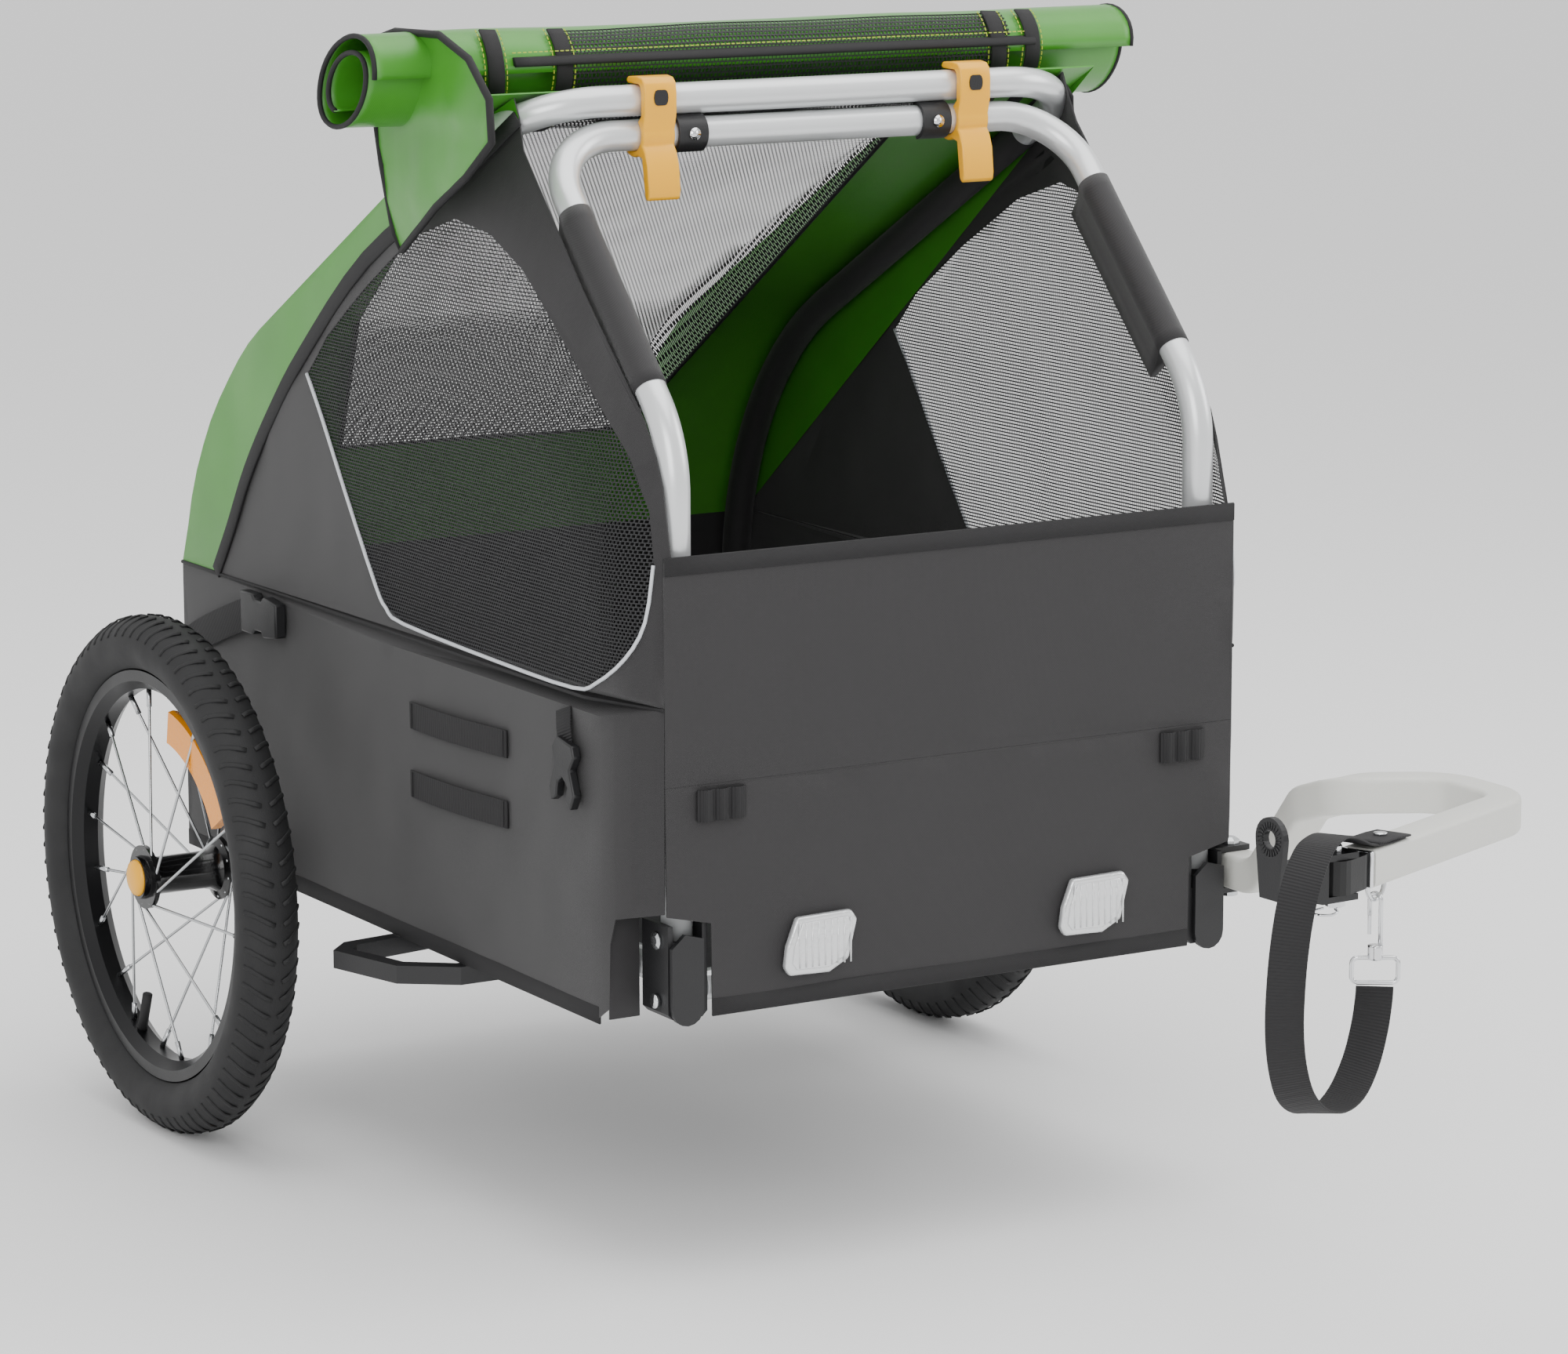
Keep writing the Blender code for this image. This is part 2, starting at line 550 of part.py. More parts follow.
# ---- wheels, hubs, axles and receivers ------------------------------------------------------
rim_half = RIM_WIDTH / 2
tyre_half = TYRE_WIDTH / 2
bead = RIM_RADIUS + GAP
tyre_profile = [(-rim_half + 0.001, bead), (-rim_half - 0.004, bead + 0.006), (-tyre_half, bead + 0.020),
                (-tyre_half + 0.003, WHEEL_RADIUS - 0.010), (-tyre_half + 0.011, WHEEL_RADIUS - 0.002),
                (0, WHEEL_RADIUS), (tyre_half - 0.011, WHEEL_RADIUS - 0.002),
                (tyre_half - 0.003, WHEEL_RADIUS - 0.010), (tyre_half, bead + 0.020),
                (rim_half + 0.004, bead + 0.006), (rim_half - 0.001, bead)]
rim_profile = [(-rim_half, RIM_RADIUS), (-rim_half, RIM_RADIUS - 0.009), (-0.006, RIM_INNER_RADIUS),
               (0.006, RIM_INNER_RADIUS), (rim_half, RIM_RADIUS - 0.009), (rim_half, RIM_RADIUS)]
bore = AXLE_PIN_RADIUS + GAP
hub_profile = [(FLANGE_IN - 0.012, bore), (FLANGE_IN - 0.012, BARREL_RADIUS), (FLANGE_IN - 0.002, BARREL_RADIUS),
               (FLANGE_IN - 0.002, FLANGE_RADIUS), (FLANGE_IN + 0.002, FLANGE_RADIUS),
               (FLANGE_IN + 0.006, BARREL_RADIUS), (FLANGE_OUT - 0.006, BARREL_RADIUS),
               (FLANGE_OUT - 0.002, FLANGE_RADIUS), (FLANGE_OUT + 0.002, FLANGE_RADIUS),
               (FLANGE_OUT + 0.002, BUTTON_RADIUS + 0.003), (FLANGE_OUT + 0.007, BUTTON_RADIUS + 0.002),
               (FLANGE_OUT + 0.007, BUTTON_RADIUS + GAP), (FLANGE_OUT - 0.003, BUTTON_RADIUS + GAP),
               (FLANGE_OUT - 0.003, bore)]
receiver_out = 0.0290
pin_end = FLANGE_OUT - 0.003
for side, sign in SIDES:
    hub_centre = Vector((sign * HALF_TRACK, 0, WHEEL_RADIUS))
    turned("tyre_" + side, tyre_profile, hub_centre, RUBBER, 40, sign)
    turned("rim_" + side, rim_profile, hub_centre, BLACK, 40, sign)
    turned("hub_" + side, hub_profile, hub_centre, GLOSS, 20, sign)
    button = [(pin_end + BUTTON_TRAVEL + GAP, BUTTON_RADIUS), (FLANGE_OUT + 0.008, BUTTON_RADIUS),
              (FLANGE_OUT + 0.011, BUTTON_RADIUS * 0.75), (FLANGE_OUT + 0.012, BUTTON_RADIUS * 0.3)]
    turned("hub_button_" + side, button, hub_centre, YELLOW, 20, sign, False)
    receiver_start = side_in + GAP - HALF_TRACK
    hub_in = FLANGE_IN - 0.012 - GAP
    receiver = [(receiver_start, bore), (receiver_start, RECEIVER_RADIUS), (hub_in - 0.003, RECEIVER_RADIUS),
                (hub_in, RECEIVER_RADIUS - 0.003), (hub_in, bore)]
    turned("axle_receiver_" + side, receiver, hub_centre, BLACK, 20, sign)
    pin = [(receiver_start + 0.006, AXLE_PIN_RADIUS), (pin_end, AXLE_PIN_RADIUS)]
    turned("axle_pin_" + side, pin, hub_centre, STEEL, 16, sign, False)
    spokes = []
    for flange, lean in ((FLANGE_OUT, 1.0), (FLANGE_IN, -1.0)):
        for number in range(SPOKES_PER_SIDE):
            at_rim = 2 * math.pi * (number + (0.25 if lean > 0 else 0.75)) / SPOKES_PER_SIDE
            at_hub = at_rim + lean * math.radians(52)
            hub_r = FLANGE_RADIUS + GAP + 0.001
            rim_r = RIM_INNER_RADIUS - GAP - 0.0009
            start = hub_centre + Vector((sign * flange, hub_r * math.cos(at_hub), hub_r * math.sin(at_hub)))
            end = hub_centre + Vector((sign * flange * 0.06, rim_r * math.cos(at_rim), rim_r * math.sin(at_rim)))
            spokes.append(tube("spoke", [start, end], SPOKE_RADIUS, STEEL, sides=5))
    band_out = RIM_INNER_RADIUS - GAP
    band = [(-0.004, band_out), (-0.004, band_out - 0.0018), (0.004, band_out - 0.0018), (0.004, band_out)]
    nipple_band = turned("spokes_" + side, band, hub_centre, STEEL, 40, sign)
    fused(nipple_band, gathered("wires " + side, spokes, STEEL))

# ---- wheel guards ---------------------------------------------------------------------------
guard_z = (0.1720, 0.1857 - GAP)
for side, sign in SIDES:
    outer = [(0.262, -0.330), (0.300, -0.302), (0.318, -0.235), (0.300, -0.216), (0.215, -0.205),
             (0.215, -0.330)]
    inner = [(0.259, -0.317), (0.290, -0.293), (0.304, -0.240), (0.296, -0.229), (0.228, -0.218),
             (0.228, -0.317)]
    loops = []
    for outline, z in ((outer, guard_z[0]), (outer, guard_z[1]), (inner, guard_z[1]), (inner, guard_z[0])):
        loops.append([Vector((sign * x, y, z)) for x, y in outline])
    guard = emit("wheel_guard_" + side, rings_to_mesh(loops, True), BLACK)
    for y in (-0.3235, -0.2115):
        post = tube("guard post", [Vector((sign * RAIL_X, y, guard_z[0] + 0.004)),
                                   Vector((sign * RAIL_X, y, rail_z - TUBE_RADIUS - GAP))], 0.0055, BLACK, sides=8)
        fused(guard, post)

# ---- tow bar and hitch ----------------------------------------------------------------------
bar_points = [TOW_PIVOT + Vector((0, TOW_BUTT, 0)), (TOW_PIVOT.x, -0.604, TOW_PIVOT.z), (0.230, -0.690, 0.318),
              (0.226, -0.742, 0.335), (0.285, -0.775, 0.335), (0.285, -0.850, 0.335), (0.0905, -0.934, 0.335)]
bar_path = filleted(bar_points, [0.040, 0.040, 0.034, 0.036, 0.036], 5)
rings = []
up_hint = Vector((0, 0, 1))
for i, point in enumerate(bar_path):
    before = bar_path[max(i - 1, 0)]
    after = bar_path[min(i + 1, len(bar_path) - 1)]
    forward = (after - before).normalized()
    side_way = forward.cross(up_hint).normalized()
    up_way = side_way.cross(forward).normalized()
    ring = []
    for a, b in ((-1, -0.72), (-0.72, -1), (0.72, -1), (1, -0.72), (1, 0.72), (0.72, 1), (-0.72, 1), (-1, 0.72)):
        ring.append(point + side_way * bar_half * a + up_way * bar_half * b)
    rings.append(ring)
tow_bar = emit("tow_bar", rings_to_mesh(rings, False), BAR_GREY)
bored(tow_bar, "tow bolt hole", tow_base, tow_top, TOW_BOLT_RADIUS + GAP)

mouth = Vector(bar_points[-1])
outward = (Vector(bar_points[-1]) - Vector(bar_points[-2])).normalized()
turn = Matrix.Translation(mouth) @ Matrix.Rotation(math.atan2(outward.y, outward.x), 4, "Z")


def at_mouth(piece):
    """Move a piece built around the open end of the tow bar to its place."""
    piece.data.transform(turn)
    return piece


FLEX_REACH = 0.030            # tow bar mouth to hitch pin
FLEX_HALF = 0.0115
FORK = 0.0042                 # fork and ear plate thickness
fork_in = FLEX_HALF + GAP
fork_out = fork_in + FORK
ear_start = FLEX_HALF + 0.0015
EAR_TURN = math.radians(-20)  # the ear hangs turned towards the bicycle's axle
EAR_ARM = 0.052               # hitch pin to the ear's plate
EAR_RADIUS = 0.0145
EAR_HOLE_RADIUS = 0.0060
EAR_RISE = 0.031

flex_root = FLEX_HALF + GAP     # the block bends about its rounded inner end
flex_outline = arc((FLEX_REACH, 0), FLEX_HALF, -90, 90, 8) + arc((flex_root, 0), FLEX_HALF, 90, 270, 8)
flex = at_mouth(slab("flex_connector", flex_outline, 2, -FLEX_HALF, FLEX_HALF, BLACK))
pin_place = turn @ Vector((FLEX_REACH, 0, 0))
hole_top = pin_place + Vector((0, 0, 0.03))
hole_base = pin_place - Vector((0, 0, 0.03))
bored(flex, "flex hole", hole_base, hole_top, HITCH_PIN_RADIUS + GAP)

at_pin = turn @ Matrix.Translation((FLEX_REACH, 0, 0)) @ Matrix.Rotation(EAR_TURN, 4, "Z")
fork_outline = [(-0.0120, fork_in), (ear_start, fork_in), (ear_start, -fork_in), (-0.0120, -fork_in),
                (-0.0120, -fork_out), (ear_start + 0.005, -fork_out), (EAR_ARM, -0.0070),
                (EAR_ARM, 0.0090), (ear_start + 0.005, fork_out), (-0.0120, fork_out)]
ear = slab("hitch_ear", fork_outline, 1, -0.0090, 0.0090, BLACK)
plate_outline = arc((0, EAR_RISE), EAR_RADIUS, -10, 190, 14) + [(-0.0095, -0.0090), (0.0095, -0.0090)]
plate = slab("ear plate", plate_outline, 0, EAR_ARM - 0.0002, EAR_ARM + FORK, BLACK)
for piece in (ear, plate):
    piece.data.transform(at_pin)
fused(ear, plate)
bored(ear, "fork hole", hole_base, hole_top, HITCH_PIN_RADIUS + GAP)
bored(ear, "dropout hole", at_pin @ Vector((EAR_ARM - 0.02, 0, EAR_RISE)),
      at_pin @ Vector((EAR_ARM + 0.02, 0, EAR_RISE)), EAR_HOLE_RADIUS)

pin_low = -fork_out - 0.006
pin_high = fork_out + 0.004
hitch_pin = turned("hitch_pin", [(pin_low, HITCH_PIN_RADIUS * 0.7), (pin_low + 0.002, HITCH_PIN_RADIUS),
                                 (fork_out + GAP, HITCH_PIN_RADIUS), (fork_out + GAP, 0.0068),
                                 (pin_high, 0.0068), (pin_high + 0.001, 0.0050)], Vector((0, 0, 0)), STEEL, 14, 1, False)
hitch_pin.data.transform(turn @ Matrix.Translation((FLEX_REACH, 0, 0)) @ Matrix.Rotation(math.pi / 2, 4, "Y"))

# D-ring under the bar, snap hook through it and the sprung gate that closes the hook
RING_WIRE = 0.0016
ring_x = -0.0235
ring_top = -bar_half - GAP - RING_WIRE
RING_RADIUS = 0.0115


def closed_wire(name, points, radius, material, sides=8):
    """A round wire bent into a closed loop; the points lie in one upright plane."""
    count = len(points)
    normal_way = (points[0] - points[count // 3]).cross(points[0] - points[2 * count // 3]).normalized()
    rings_round = []
    for i, point in enumerate(points):
        forward = (points[(i + 1) % count] - points[i - 1]).normalized()
        outward_way = forward.cross(normal_way)
        ring = []
        for j in range(sides):
            angle = 2 * math.pi * j / sides
            ring.append(point + normal_way * radius * math.cos(angle) + outward_way * radius * math.sin(angle))
        rings_round.append(ring)
    return emit(name, rings_to_mesh(rings_round, True), material)


d_points = [Vector((ring_x + x, 0, ring_top + z)) for x, z in arc((0, 0), RING_RADIUS, 180, 360, 12)]
d_points += [Vector((ring_x + 0.008, 0, ring_top)), Vector((ring_x - 0.008, 0, ring_top))]
at_mouth(closed_wire("d_ring", d_points, RING_WIRE, STEEL))

hook_y = 0.0042
wire_z = ring_top - RING_RADIUS
hook = [Vector((ring_x, hook_y, wire_z - 0.034)), Vector((ring_x, hook_y, wire_z - 0.002))]
hook += [Vector((ring_x, y, z)) for y, z in arc((0, wire_z), hook_y, 0, 180, 8)]
hook += [Vector((ring_x, -hook_y, wire_z - 0.011))]
snap = at_mouth(tube("snap_hook", hook, RING_WIRE, STEEL, sides=8))
barrel_top = wire_z - 0.031
barrel = tube("swivel barrel", [Vector((ring_x, 0.0005, barrel_top)), Vector((ring_x, 0.0005, barrel_top - 0.0095))],
              0.0052, STEEL, sides=10)
fused(snap, at_mouth(barrel))
STRAP_TURN = math.radians(35)   # the hanging strap and its loop are turned this far about the upright
LOOP_HALF = 0.0155
LOOP_DROP = 0.017
loop_top = barrel_top - 0.0085
loop_way = Vector((-math.sin(STRAP_TURN), math.cos(STRAP_TURN), 0))
frame_points = []
for corner_x, corner_z, first in ((LOOP_HALF - 0.004, loop_top - 0.004, 90), (-LOOP_HALF + 0.004, loop_top - 0.004, 180),
                                  (-LOOP_HALF + 0.004, loop_top - LOOP_DROP + 0.004, 270),
                                  (LOOP_HALF - 0.004, loop_top - LOOP_DROP + 0.004, 360)):
    steps = 3
    for x, z in arc((corner_x, corner_z), 0.004, first - 90, first, steps):
        frame_points.append(Vector((ring_x, 0.0005, 0)) + loop_way * x + Vector((0, 0, z)))
strap_loop = closed_wire("strap loop", frame_points, RING_WIRE, STEEL)
fused(snap, at_mouth(strap_loop))
GATE_TRAVEL = 0.006
gate_top = wire_z - 0.011 - GAP
gate = tube("snap_gate", [Vector((ring_x, -hook_y, gate_top)), Vector((ring_x, -hook_y, barrel_top + GATE_TRAVEL + 0.001))],
            RING_WIRE * 0.9, STEEL, sides=8)
at_mouth(gate)

# Safety strap: one length of flat webbing from the top of the bar out over the hitch, down, round and
# up to the snap hook's loop. Its route is in the frame of the tow bar's mouth: x outwards, z up.
STRAP_WIDTH = 0.025
STRAP_THICKNESS = 0.0016
strap_end_z = loop_top - LOOP_DROP - RING_WIRE - GAP - STRAP_THICKNESS / 2
strap_rest = bar_half + GAP + STRAP_THICKNESS / 2
STRAP_ROUTE = [
    (-0.040, 0.0000, strap_rest, 90), (-0.018, 0.0000, strap_rest, 90), (0.004, 0.0008, 0.0172, 92),
    (0.026, 0.0040, 0.0250, 96), (0.050, 0.0100, 0.0315, 102), (0.072, 0.0160, 0.0340, 108),
    (0.092, 0.0200, 0.0310, 114), (0.109, 0.0225, 0.0180, 119), (0.121, 0.0235, -0.0020, 123),
    (0.128, 0.0235, -0.0270, 125), (0.131, 0.0230, -0.0540, 125), (0.130, 0.0220, -0.0810, 125),
    (0.123, 0.0205, -0.1060, 125), (0.108, 0.0180, -0.1290, 125), (0.083, 0.0145, -0.1450, 125),
    (0.052, 0.0105, -0.1520, 125), (0.022, 0.0065, -0.1480, 125), (-0.001, 0.0035, -0.1330, 125),
    (-0.015, 0.0018, -0.1130, 125), (ring_x + 0.001, 0.0005, -0.0950, 125), (ring_x, 0.0005, strap_end_z, 125),
]


def ribbon(name, route, width, thickness, material):
    """A flat strip along a route of (x, y, z, turn); turn is its width's direction in plan, in degrees."""
    strip = []
    for i, (x, y, z, turn_deg) in enumerate(route):
        before = Vector(route[max(i - 1, 0)][:3])
        after = Vector(route[min(i + 1, len(route) - 1)][:3])
        forward = (after - before).normalized()
        wanted = Vector((math.cos(math.radians(turn_deg)), math.sin(math.radians(turn_deg)), 0))
        wide = (wanted - forward * wanted.dot(forward)).normalized()
        thick = forward.cross(wide)
        here = Vector((x, y, z))
        strip.append([here + wide * width * a + thick * thickness * b
                      for a, b in ((-0.5, -0.5), (0.5, -0.5), (0.5, 0.5), (-0.5, 0.5))])
    return emit(name, rings_to_mesh(strip, False), material)


at_mouth(ribbon("safety_strap", STRAP_ROUTE, STRAP_WIDTH, STRAP_THICKNESS, CLOTH_BLACK))

bpy.context.view_layer.update()
solid_cutters()
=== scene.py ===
import math

import bpy
from mathutils import Matrix, Vector, noise
from mathutils.geometry import delaunay_2d_cdt


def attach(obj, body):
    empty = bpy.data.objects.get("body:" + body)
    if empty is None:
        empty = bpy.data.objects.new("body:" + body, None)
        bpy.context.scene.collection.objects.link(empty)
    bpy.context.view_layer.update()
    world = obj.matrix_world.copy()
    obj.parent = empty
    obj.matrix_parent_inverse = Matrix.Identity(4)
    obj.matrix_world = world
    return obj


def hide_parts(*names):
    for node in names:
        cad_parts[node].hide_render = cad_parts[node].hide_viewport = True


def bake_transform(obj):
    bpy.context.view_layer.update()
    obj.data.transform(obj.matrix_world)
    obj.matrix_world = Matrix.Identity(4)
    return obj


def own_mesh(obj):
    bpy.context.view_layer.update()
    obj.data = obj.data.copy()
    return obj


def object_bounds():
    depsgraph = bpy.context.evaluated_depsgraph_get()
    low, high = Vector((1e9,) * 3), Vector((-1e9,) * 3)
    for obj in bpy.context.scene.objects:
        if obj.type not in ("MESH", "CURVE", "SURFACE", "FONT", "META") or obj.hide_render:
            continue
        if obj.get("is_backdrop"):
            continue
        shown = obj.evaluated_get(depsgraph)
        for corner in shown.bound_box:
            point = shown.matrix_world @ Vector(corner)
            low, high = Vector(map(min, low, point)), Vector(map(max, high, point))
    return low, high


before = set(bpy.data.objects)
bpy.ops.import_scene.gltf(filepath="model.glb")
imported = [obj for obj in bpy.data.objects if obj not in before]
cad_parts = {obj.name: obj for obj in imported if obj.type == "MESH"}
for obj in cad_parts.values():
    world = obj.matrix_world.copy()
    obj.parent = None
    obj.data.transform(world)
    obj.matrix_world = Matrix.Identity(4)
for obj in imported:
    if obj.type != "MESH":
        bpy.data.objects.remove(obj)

cad_box = [list(corner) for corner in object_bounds()]
SIDES = (("right", -1.0), ("left", 1.0))
ACROSS = Vector((1, 0, 0))
FORE_AND_AFT = Vector((0, 1, 0))
UP = Vector((0, 0, 1))

# ---- camera, floor and studio light ---------------------------------------------------------
# A long lens three-quarter view on a seamless pale floor, lit by large soft boxes.
scene = bpy.context.scene
lens = bpy.data.cameras.new("camera")
lens.lens = 124.12
lens.shift_x = -0.0348
lens.shift_y = 0.0170
camera = bpy.data.objects.new("camera", lens)
camera.location = (-2.00711631, -3.71952636, 1.12093902)
camera.rotation_euler = (math.radians(90 - 11.0313), 0, math.radians(-31.3508))
scene.collection.objects.link(camera)
scene.camera = camera


def colour(code):
    """A colour given as sRGB hex, as a shader takes it."""
    parts = [int(code[i:i + 2], 16) / 255 for i in (1, 3, 5)]
    return (*(((c + 0.055) / 1.055) ** 2.4 if c > 0.04045 else c / 12.92 for c in parts), 1.0)


def node(tree, kind, inputs=None, **settings):
    """A node with its settings; each input is a value, or a socket to link from."""
    added = tree.nodes.new(kind)
    for key, value in settings.items():
        setattr(added, key, value)
    for key, value in (inputs or {}).items():
        if isinstance(value, bpy.types.NodeSocket):
            tree.links.new(value, added.inputs[key])
        else:
            added.inputs[key].default_value = value
    return added


def finish(name, code, roughness, metallic=0.0, grain=0.15, size=900.0, **more):
    """A solid finish with a fine grain and slightly uneven gloss, as moulding and handling leave."""
    look = bpy.data.materials.new(name)
    look.use_nodes = True
    tree = look.node_tree
    shader = tree.nodes["Principled BSDF"]
    place = node(tree, "ShaderNodeTexCoord").outputs["Object"]
    speckle = node(tree, "ShaderNodeTexNoise", {"Vector": place, "Scale": size, "Detail": 2.0}).outputs["Fac"]
    wear = node(tree, "ShaderNodeTexNoise", {"Vector": place, "Scale": 35.0, "Detail": 4.0}).outputs["Fac"]
    gloss = node(tree, "ShaderNodeMapRange",
                 {"Value": wear, "To Min": roughness * 0.8, "To Max": roughness * 1.25}).outputs["Result"]
    bump = node(tree, "ShaderNodeBump", {"Height": speckle, "Strength": grain, "Distance": 0.0004})
    tree.links.new(gloss, shader.inputs["Roughness"])
    tree.links.new(bump.outputs["Normal"], shader.inputs["Normal"])
    shader.inputs["Base Color"].default_value = colour(code)
    shader.inputs["Metallic"].default_value = metallic
    for key, value in more.items():
        shader.inputs[key.replace("_", " ")].default_value = value
    return look


bpy.ops.mesh.primitive_plane_add(size=30)
floor = bpy.context.object
floor.name = "studio_floor"
floor.data.materials.append(finish("matt white studio floor", "#f4f4f4", 0.9, grain=0.0))
floor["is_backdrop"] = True
scene.world = bpy.data.worlds.new("studio")
scene.world.use_nodes = True
scene.world.node_tree.nodes["Background"].inputs["Color"].default_value = colour("#ffffff")
scene.world.node_tree.nodes["Background"].inputs["Strength"].default_value = 1.15
for name, place, size, power in (("top softbox", (0.3, -0.6, 3.0), 3.0, 60.0),
                                 ("front softbox", (-2.6, -3.4, 2.0), 2.2, 62.0),
                                 ("side softbox", (2.8, -1.6, 1.8), 1.6, 30.0)):
    light = bpy.data.lights.new(name, "AREA")
    light.size = size
    light.energy = power
    lamp = bpy.data.objects.new(name, light)
    lamp.location = place
    lamp.rotation_euler = (Vector((0, -0.3, 0.4)) - Vector(place)).to_track_quat("-Z", "Y").to_euler()
    scene.collection.objects.link(lamp)


# ---- safety strap: flat webbing from the tow bar round to the snap hook ----------------------
# Black nylon webbing 25 mm wide, folded over a loop and stitched. Its route is set out from the
# open end of the tow bar: x away from the bar, z up, with the plan direction of its width.
def piece_of(name, points, faces, looks, flat=None, smooth=True):
    """A mesh piece; looks is one material or several, flat gives each point's place on flat cloth."""
    mesh = bpy.data.meshes.new(name)
    mesh.from_pydata([tuple(point) for point in points], [], faces)
    for look in looks if isinstance(looks, (list, tuple)) else (looks,):
        mesh.materials.append(look)
    if flat:
        layer = mesh.uv_layers.new(name="flat")
        for loop in mesh.loops:
            layer.data[loop.index].uv = flat[loop.vertex_index]
    mesh.shade_smooth() if smooth else mesh.shade_flat()
    item = bpy.data.objects.new(name, mesh)
    scene.collection.objects.link(item)
    return item


def settled(item):
    """Apply a piece's modifiers, so that its mesh is final."""
    graph = bpy.context.evaluated_depsgraph_get()
    mesh = bpy.data.meshes.new_from_object(item.evaluated_get(graph), preserve_all_data_layers=True,
                                           depsgraph=graph)
    item.modifiers.clear()
    item.data = mesh
    return item


def bevelled(item, width, steps=2, limit=30):
    """Round a piece's edges."""
    bevel = item.modifiers.new("edge", "BEVEL")
    bevel.width = width
    bevel.segments = steps
    bevel.limit_method = "ANGLE"
    bevel.angle_limit = math.radians(limit)
    return settled(item)


def sweep(name, path, section, look, closed=False, wide=None, smooth=True):
    """A section of (side, up) points carried along a path; wide is its side direction, at every point
    or at each."""
    count = len(path)
    if isinstance(wide, Vector):
        wide = [wide] * count
    points = []
    flat = []
    side = None
    run = 0.0
    for i, here in enumerate(path):
        before = path[i - 1] if closed or i else here
        after = path[(i + 1) % count] if closed or i < count - 1 else here
        forward = (after - before).normalized()
        wanted = wide[i] if wide else (side or forward.orthogonal())
        side = (wanted - forward * wanted.dot(forward)).normalized()
        up = forward.cross(side)
        run += (here - path[i - 1]).length if i else 0.0
        around = 0.0
        for j, (a, b) in enumerate(section):
            around += math.dist(section[j], section[j - 1]) if j else 0.0
            points.append(here + side * a + up * b)
            flat.append((run, around))
    width = len(section)
    faces = []
    for i in range(count if closed else count - 1):
        for j in range(width):
            k = (j + 1) % width
            low, high = i * width, ((i + 1) % count) * width
            faces.append((low + j, low + k, high + k, high + j))
    if not closed:
        faces.append(tuple(reversed(range(width))))
        faces.append(tuple(range((count - 1) * width, count * width)))
    return piece_of(name, points, faces, look, flat, smooth)


def narrowed(section, share):
    """A section at a share of its width."""
    return [(a * share, b) for a, b in section]


def circle(radius, sides, squash=1.0):
    """A round or oval section."""
    turns = [2 * math.pi * j / sides for j in range(sides)]
    return [(radius * math.cos(turn), radius * squash * math.sin(turn)) for turn in turns]


def filleted(points, radii, steps):
    """A path whose inner corners are rounded with the given radii."""
    path = [Vector(points[0])]
    for i in range(1, len(points) - 1):
        here = Vector(points[i])
        back = (Vector(points[i - 1]) - here).normalized()
        ahead = (Vector(points[i + 1]) - here).normalized()
        half = back.angle(ahead) / 2
        middle = here + (back + ahead).normalized() * radii[i - 1] / math.sin(half)
        reach = radii[i - 1] / math.tan(half)
        for step in range(steps + 1):
            chord = (here + back * reach).lerp(here + ahead * reach, step / steps)
            path.append(middle + (chord - middle).normalized() * radii[i - 1])
    path.append(Vector(points[-1]))
    return path


def curved(points, steps):
    """A smooth path through points of any length, by Catmull-Rom."""
    path = []
    for i in range(len(points) - 1):
        p = [Vector(points[min(max(i + k, 0), len(points) - 1)]) for k in (-1, 0, 1, 2)]
        for step in range(steps):
            t = step / steps
            path.append(0.5 * (2 * p[1] + (p[2] - p[0]) * t
                               + (2 * p[0] - 5 * p[1] + 4 * p[2] - p[3]) * t * t
                               + (3 * p[1] - p[0] - 3 * p[2] + p[3]) * t ** 3))
    path.append(Vector(points[-1]))
    return path


def cloth(name, code, roughness, pitch, depth=0.0002, ribs=False, holes=0.0, **more):
    """Woven cloth drawn from flat cloth coordinates: threads, fading, and open holes for a mesh."""
    look = bpy.data.materials.new(name)
    look.use_nodes = True
    tree = look.node_tree
    shader = tree.nodes["Principled BSDF"]
    place = node(tree, "ShaderNodeTexCoord").outputs["UV"]
    split = node(tree, "ShaderNodeSeparateXYZ", {0: place})
    threads = []
    for axis in ("X", "Y"):
        turn = node(tree, "ShaderNodeMath", {0: split.outputs[axis], 1: 2 * math.pi / pitch},
                    operation="MULTIPLY")
        threads.append(node(tree, "ShaderNodeMath", {0: turn.outputs[0]}, operation="SINE").outputs[0])
    height = threads[0]
    if not ribs:
        height = node(tree, "ShaderNodeMath", {0: threads[0], 1: threads[1]}, operation="MULTIPLY").outputs[0]
    fade = node(tree, "ShaderNodeTexNoise", {"Vector": place, "Scale": 14.0, "Detail": 4.0}).outputs["Fac"]
    dark, pale = (tuple(c * k for c in colour(code)[:3]) + (1.0,) for k in (0.82, 1.16))
    tone = node(tree, "ShaderNodeMix", {0: fade, 6: dark, 7: pale}, data_type="RGBA").outputs[2]
    bump = node(tree, "ShaderNodeBump", {"Height": height, "Strength": 0.6, "Distance": depth})
    tree.links.new(tone, shader.inputs["Base Color"])
    tree.links.new(bump.outputs["Normal"], shader.inputs["Normal"])
    shader.inputs["Roughness"].default_value = roughness
    for key, value in more.items():
        shader.inputs[key.replace("_", " ")].default_value = value
    if holes:
        net = node(tree, "ShaderNodeTexBrick", {"Vector": place, "Scale": 1 / pitch, "Mortar Size": holes,
                                                "Mortar Smooth": 0.1, "Brick Width": 1.0, "Row Height": 0.8})
        tree.links.new(net.outputs["Fac"], shader.inputs["Alpha"])
    return look


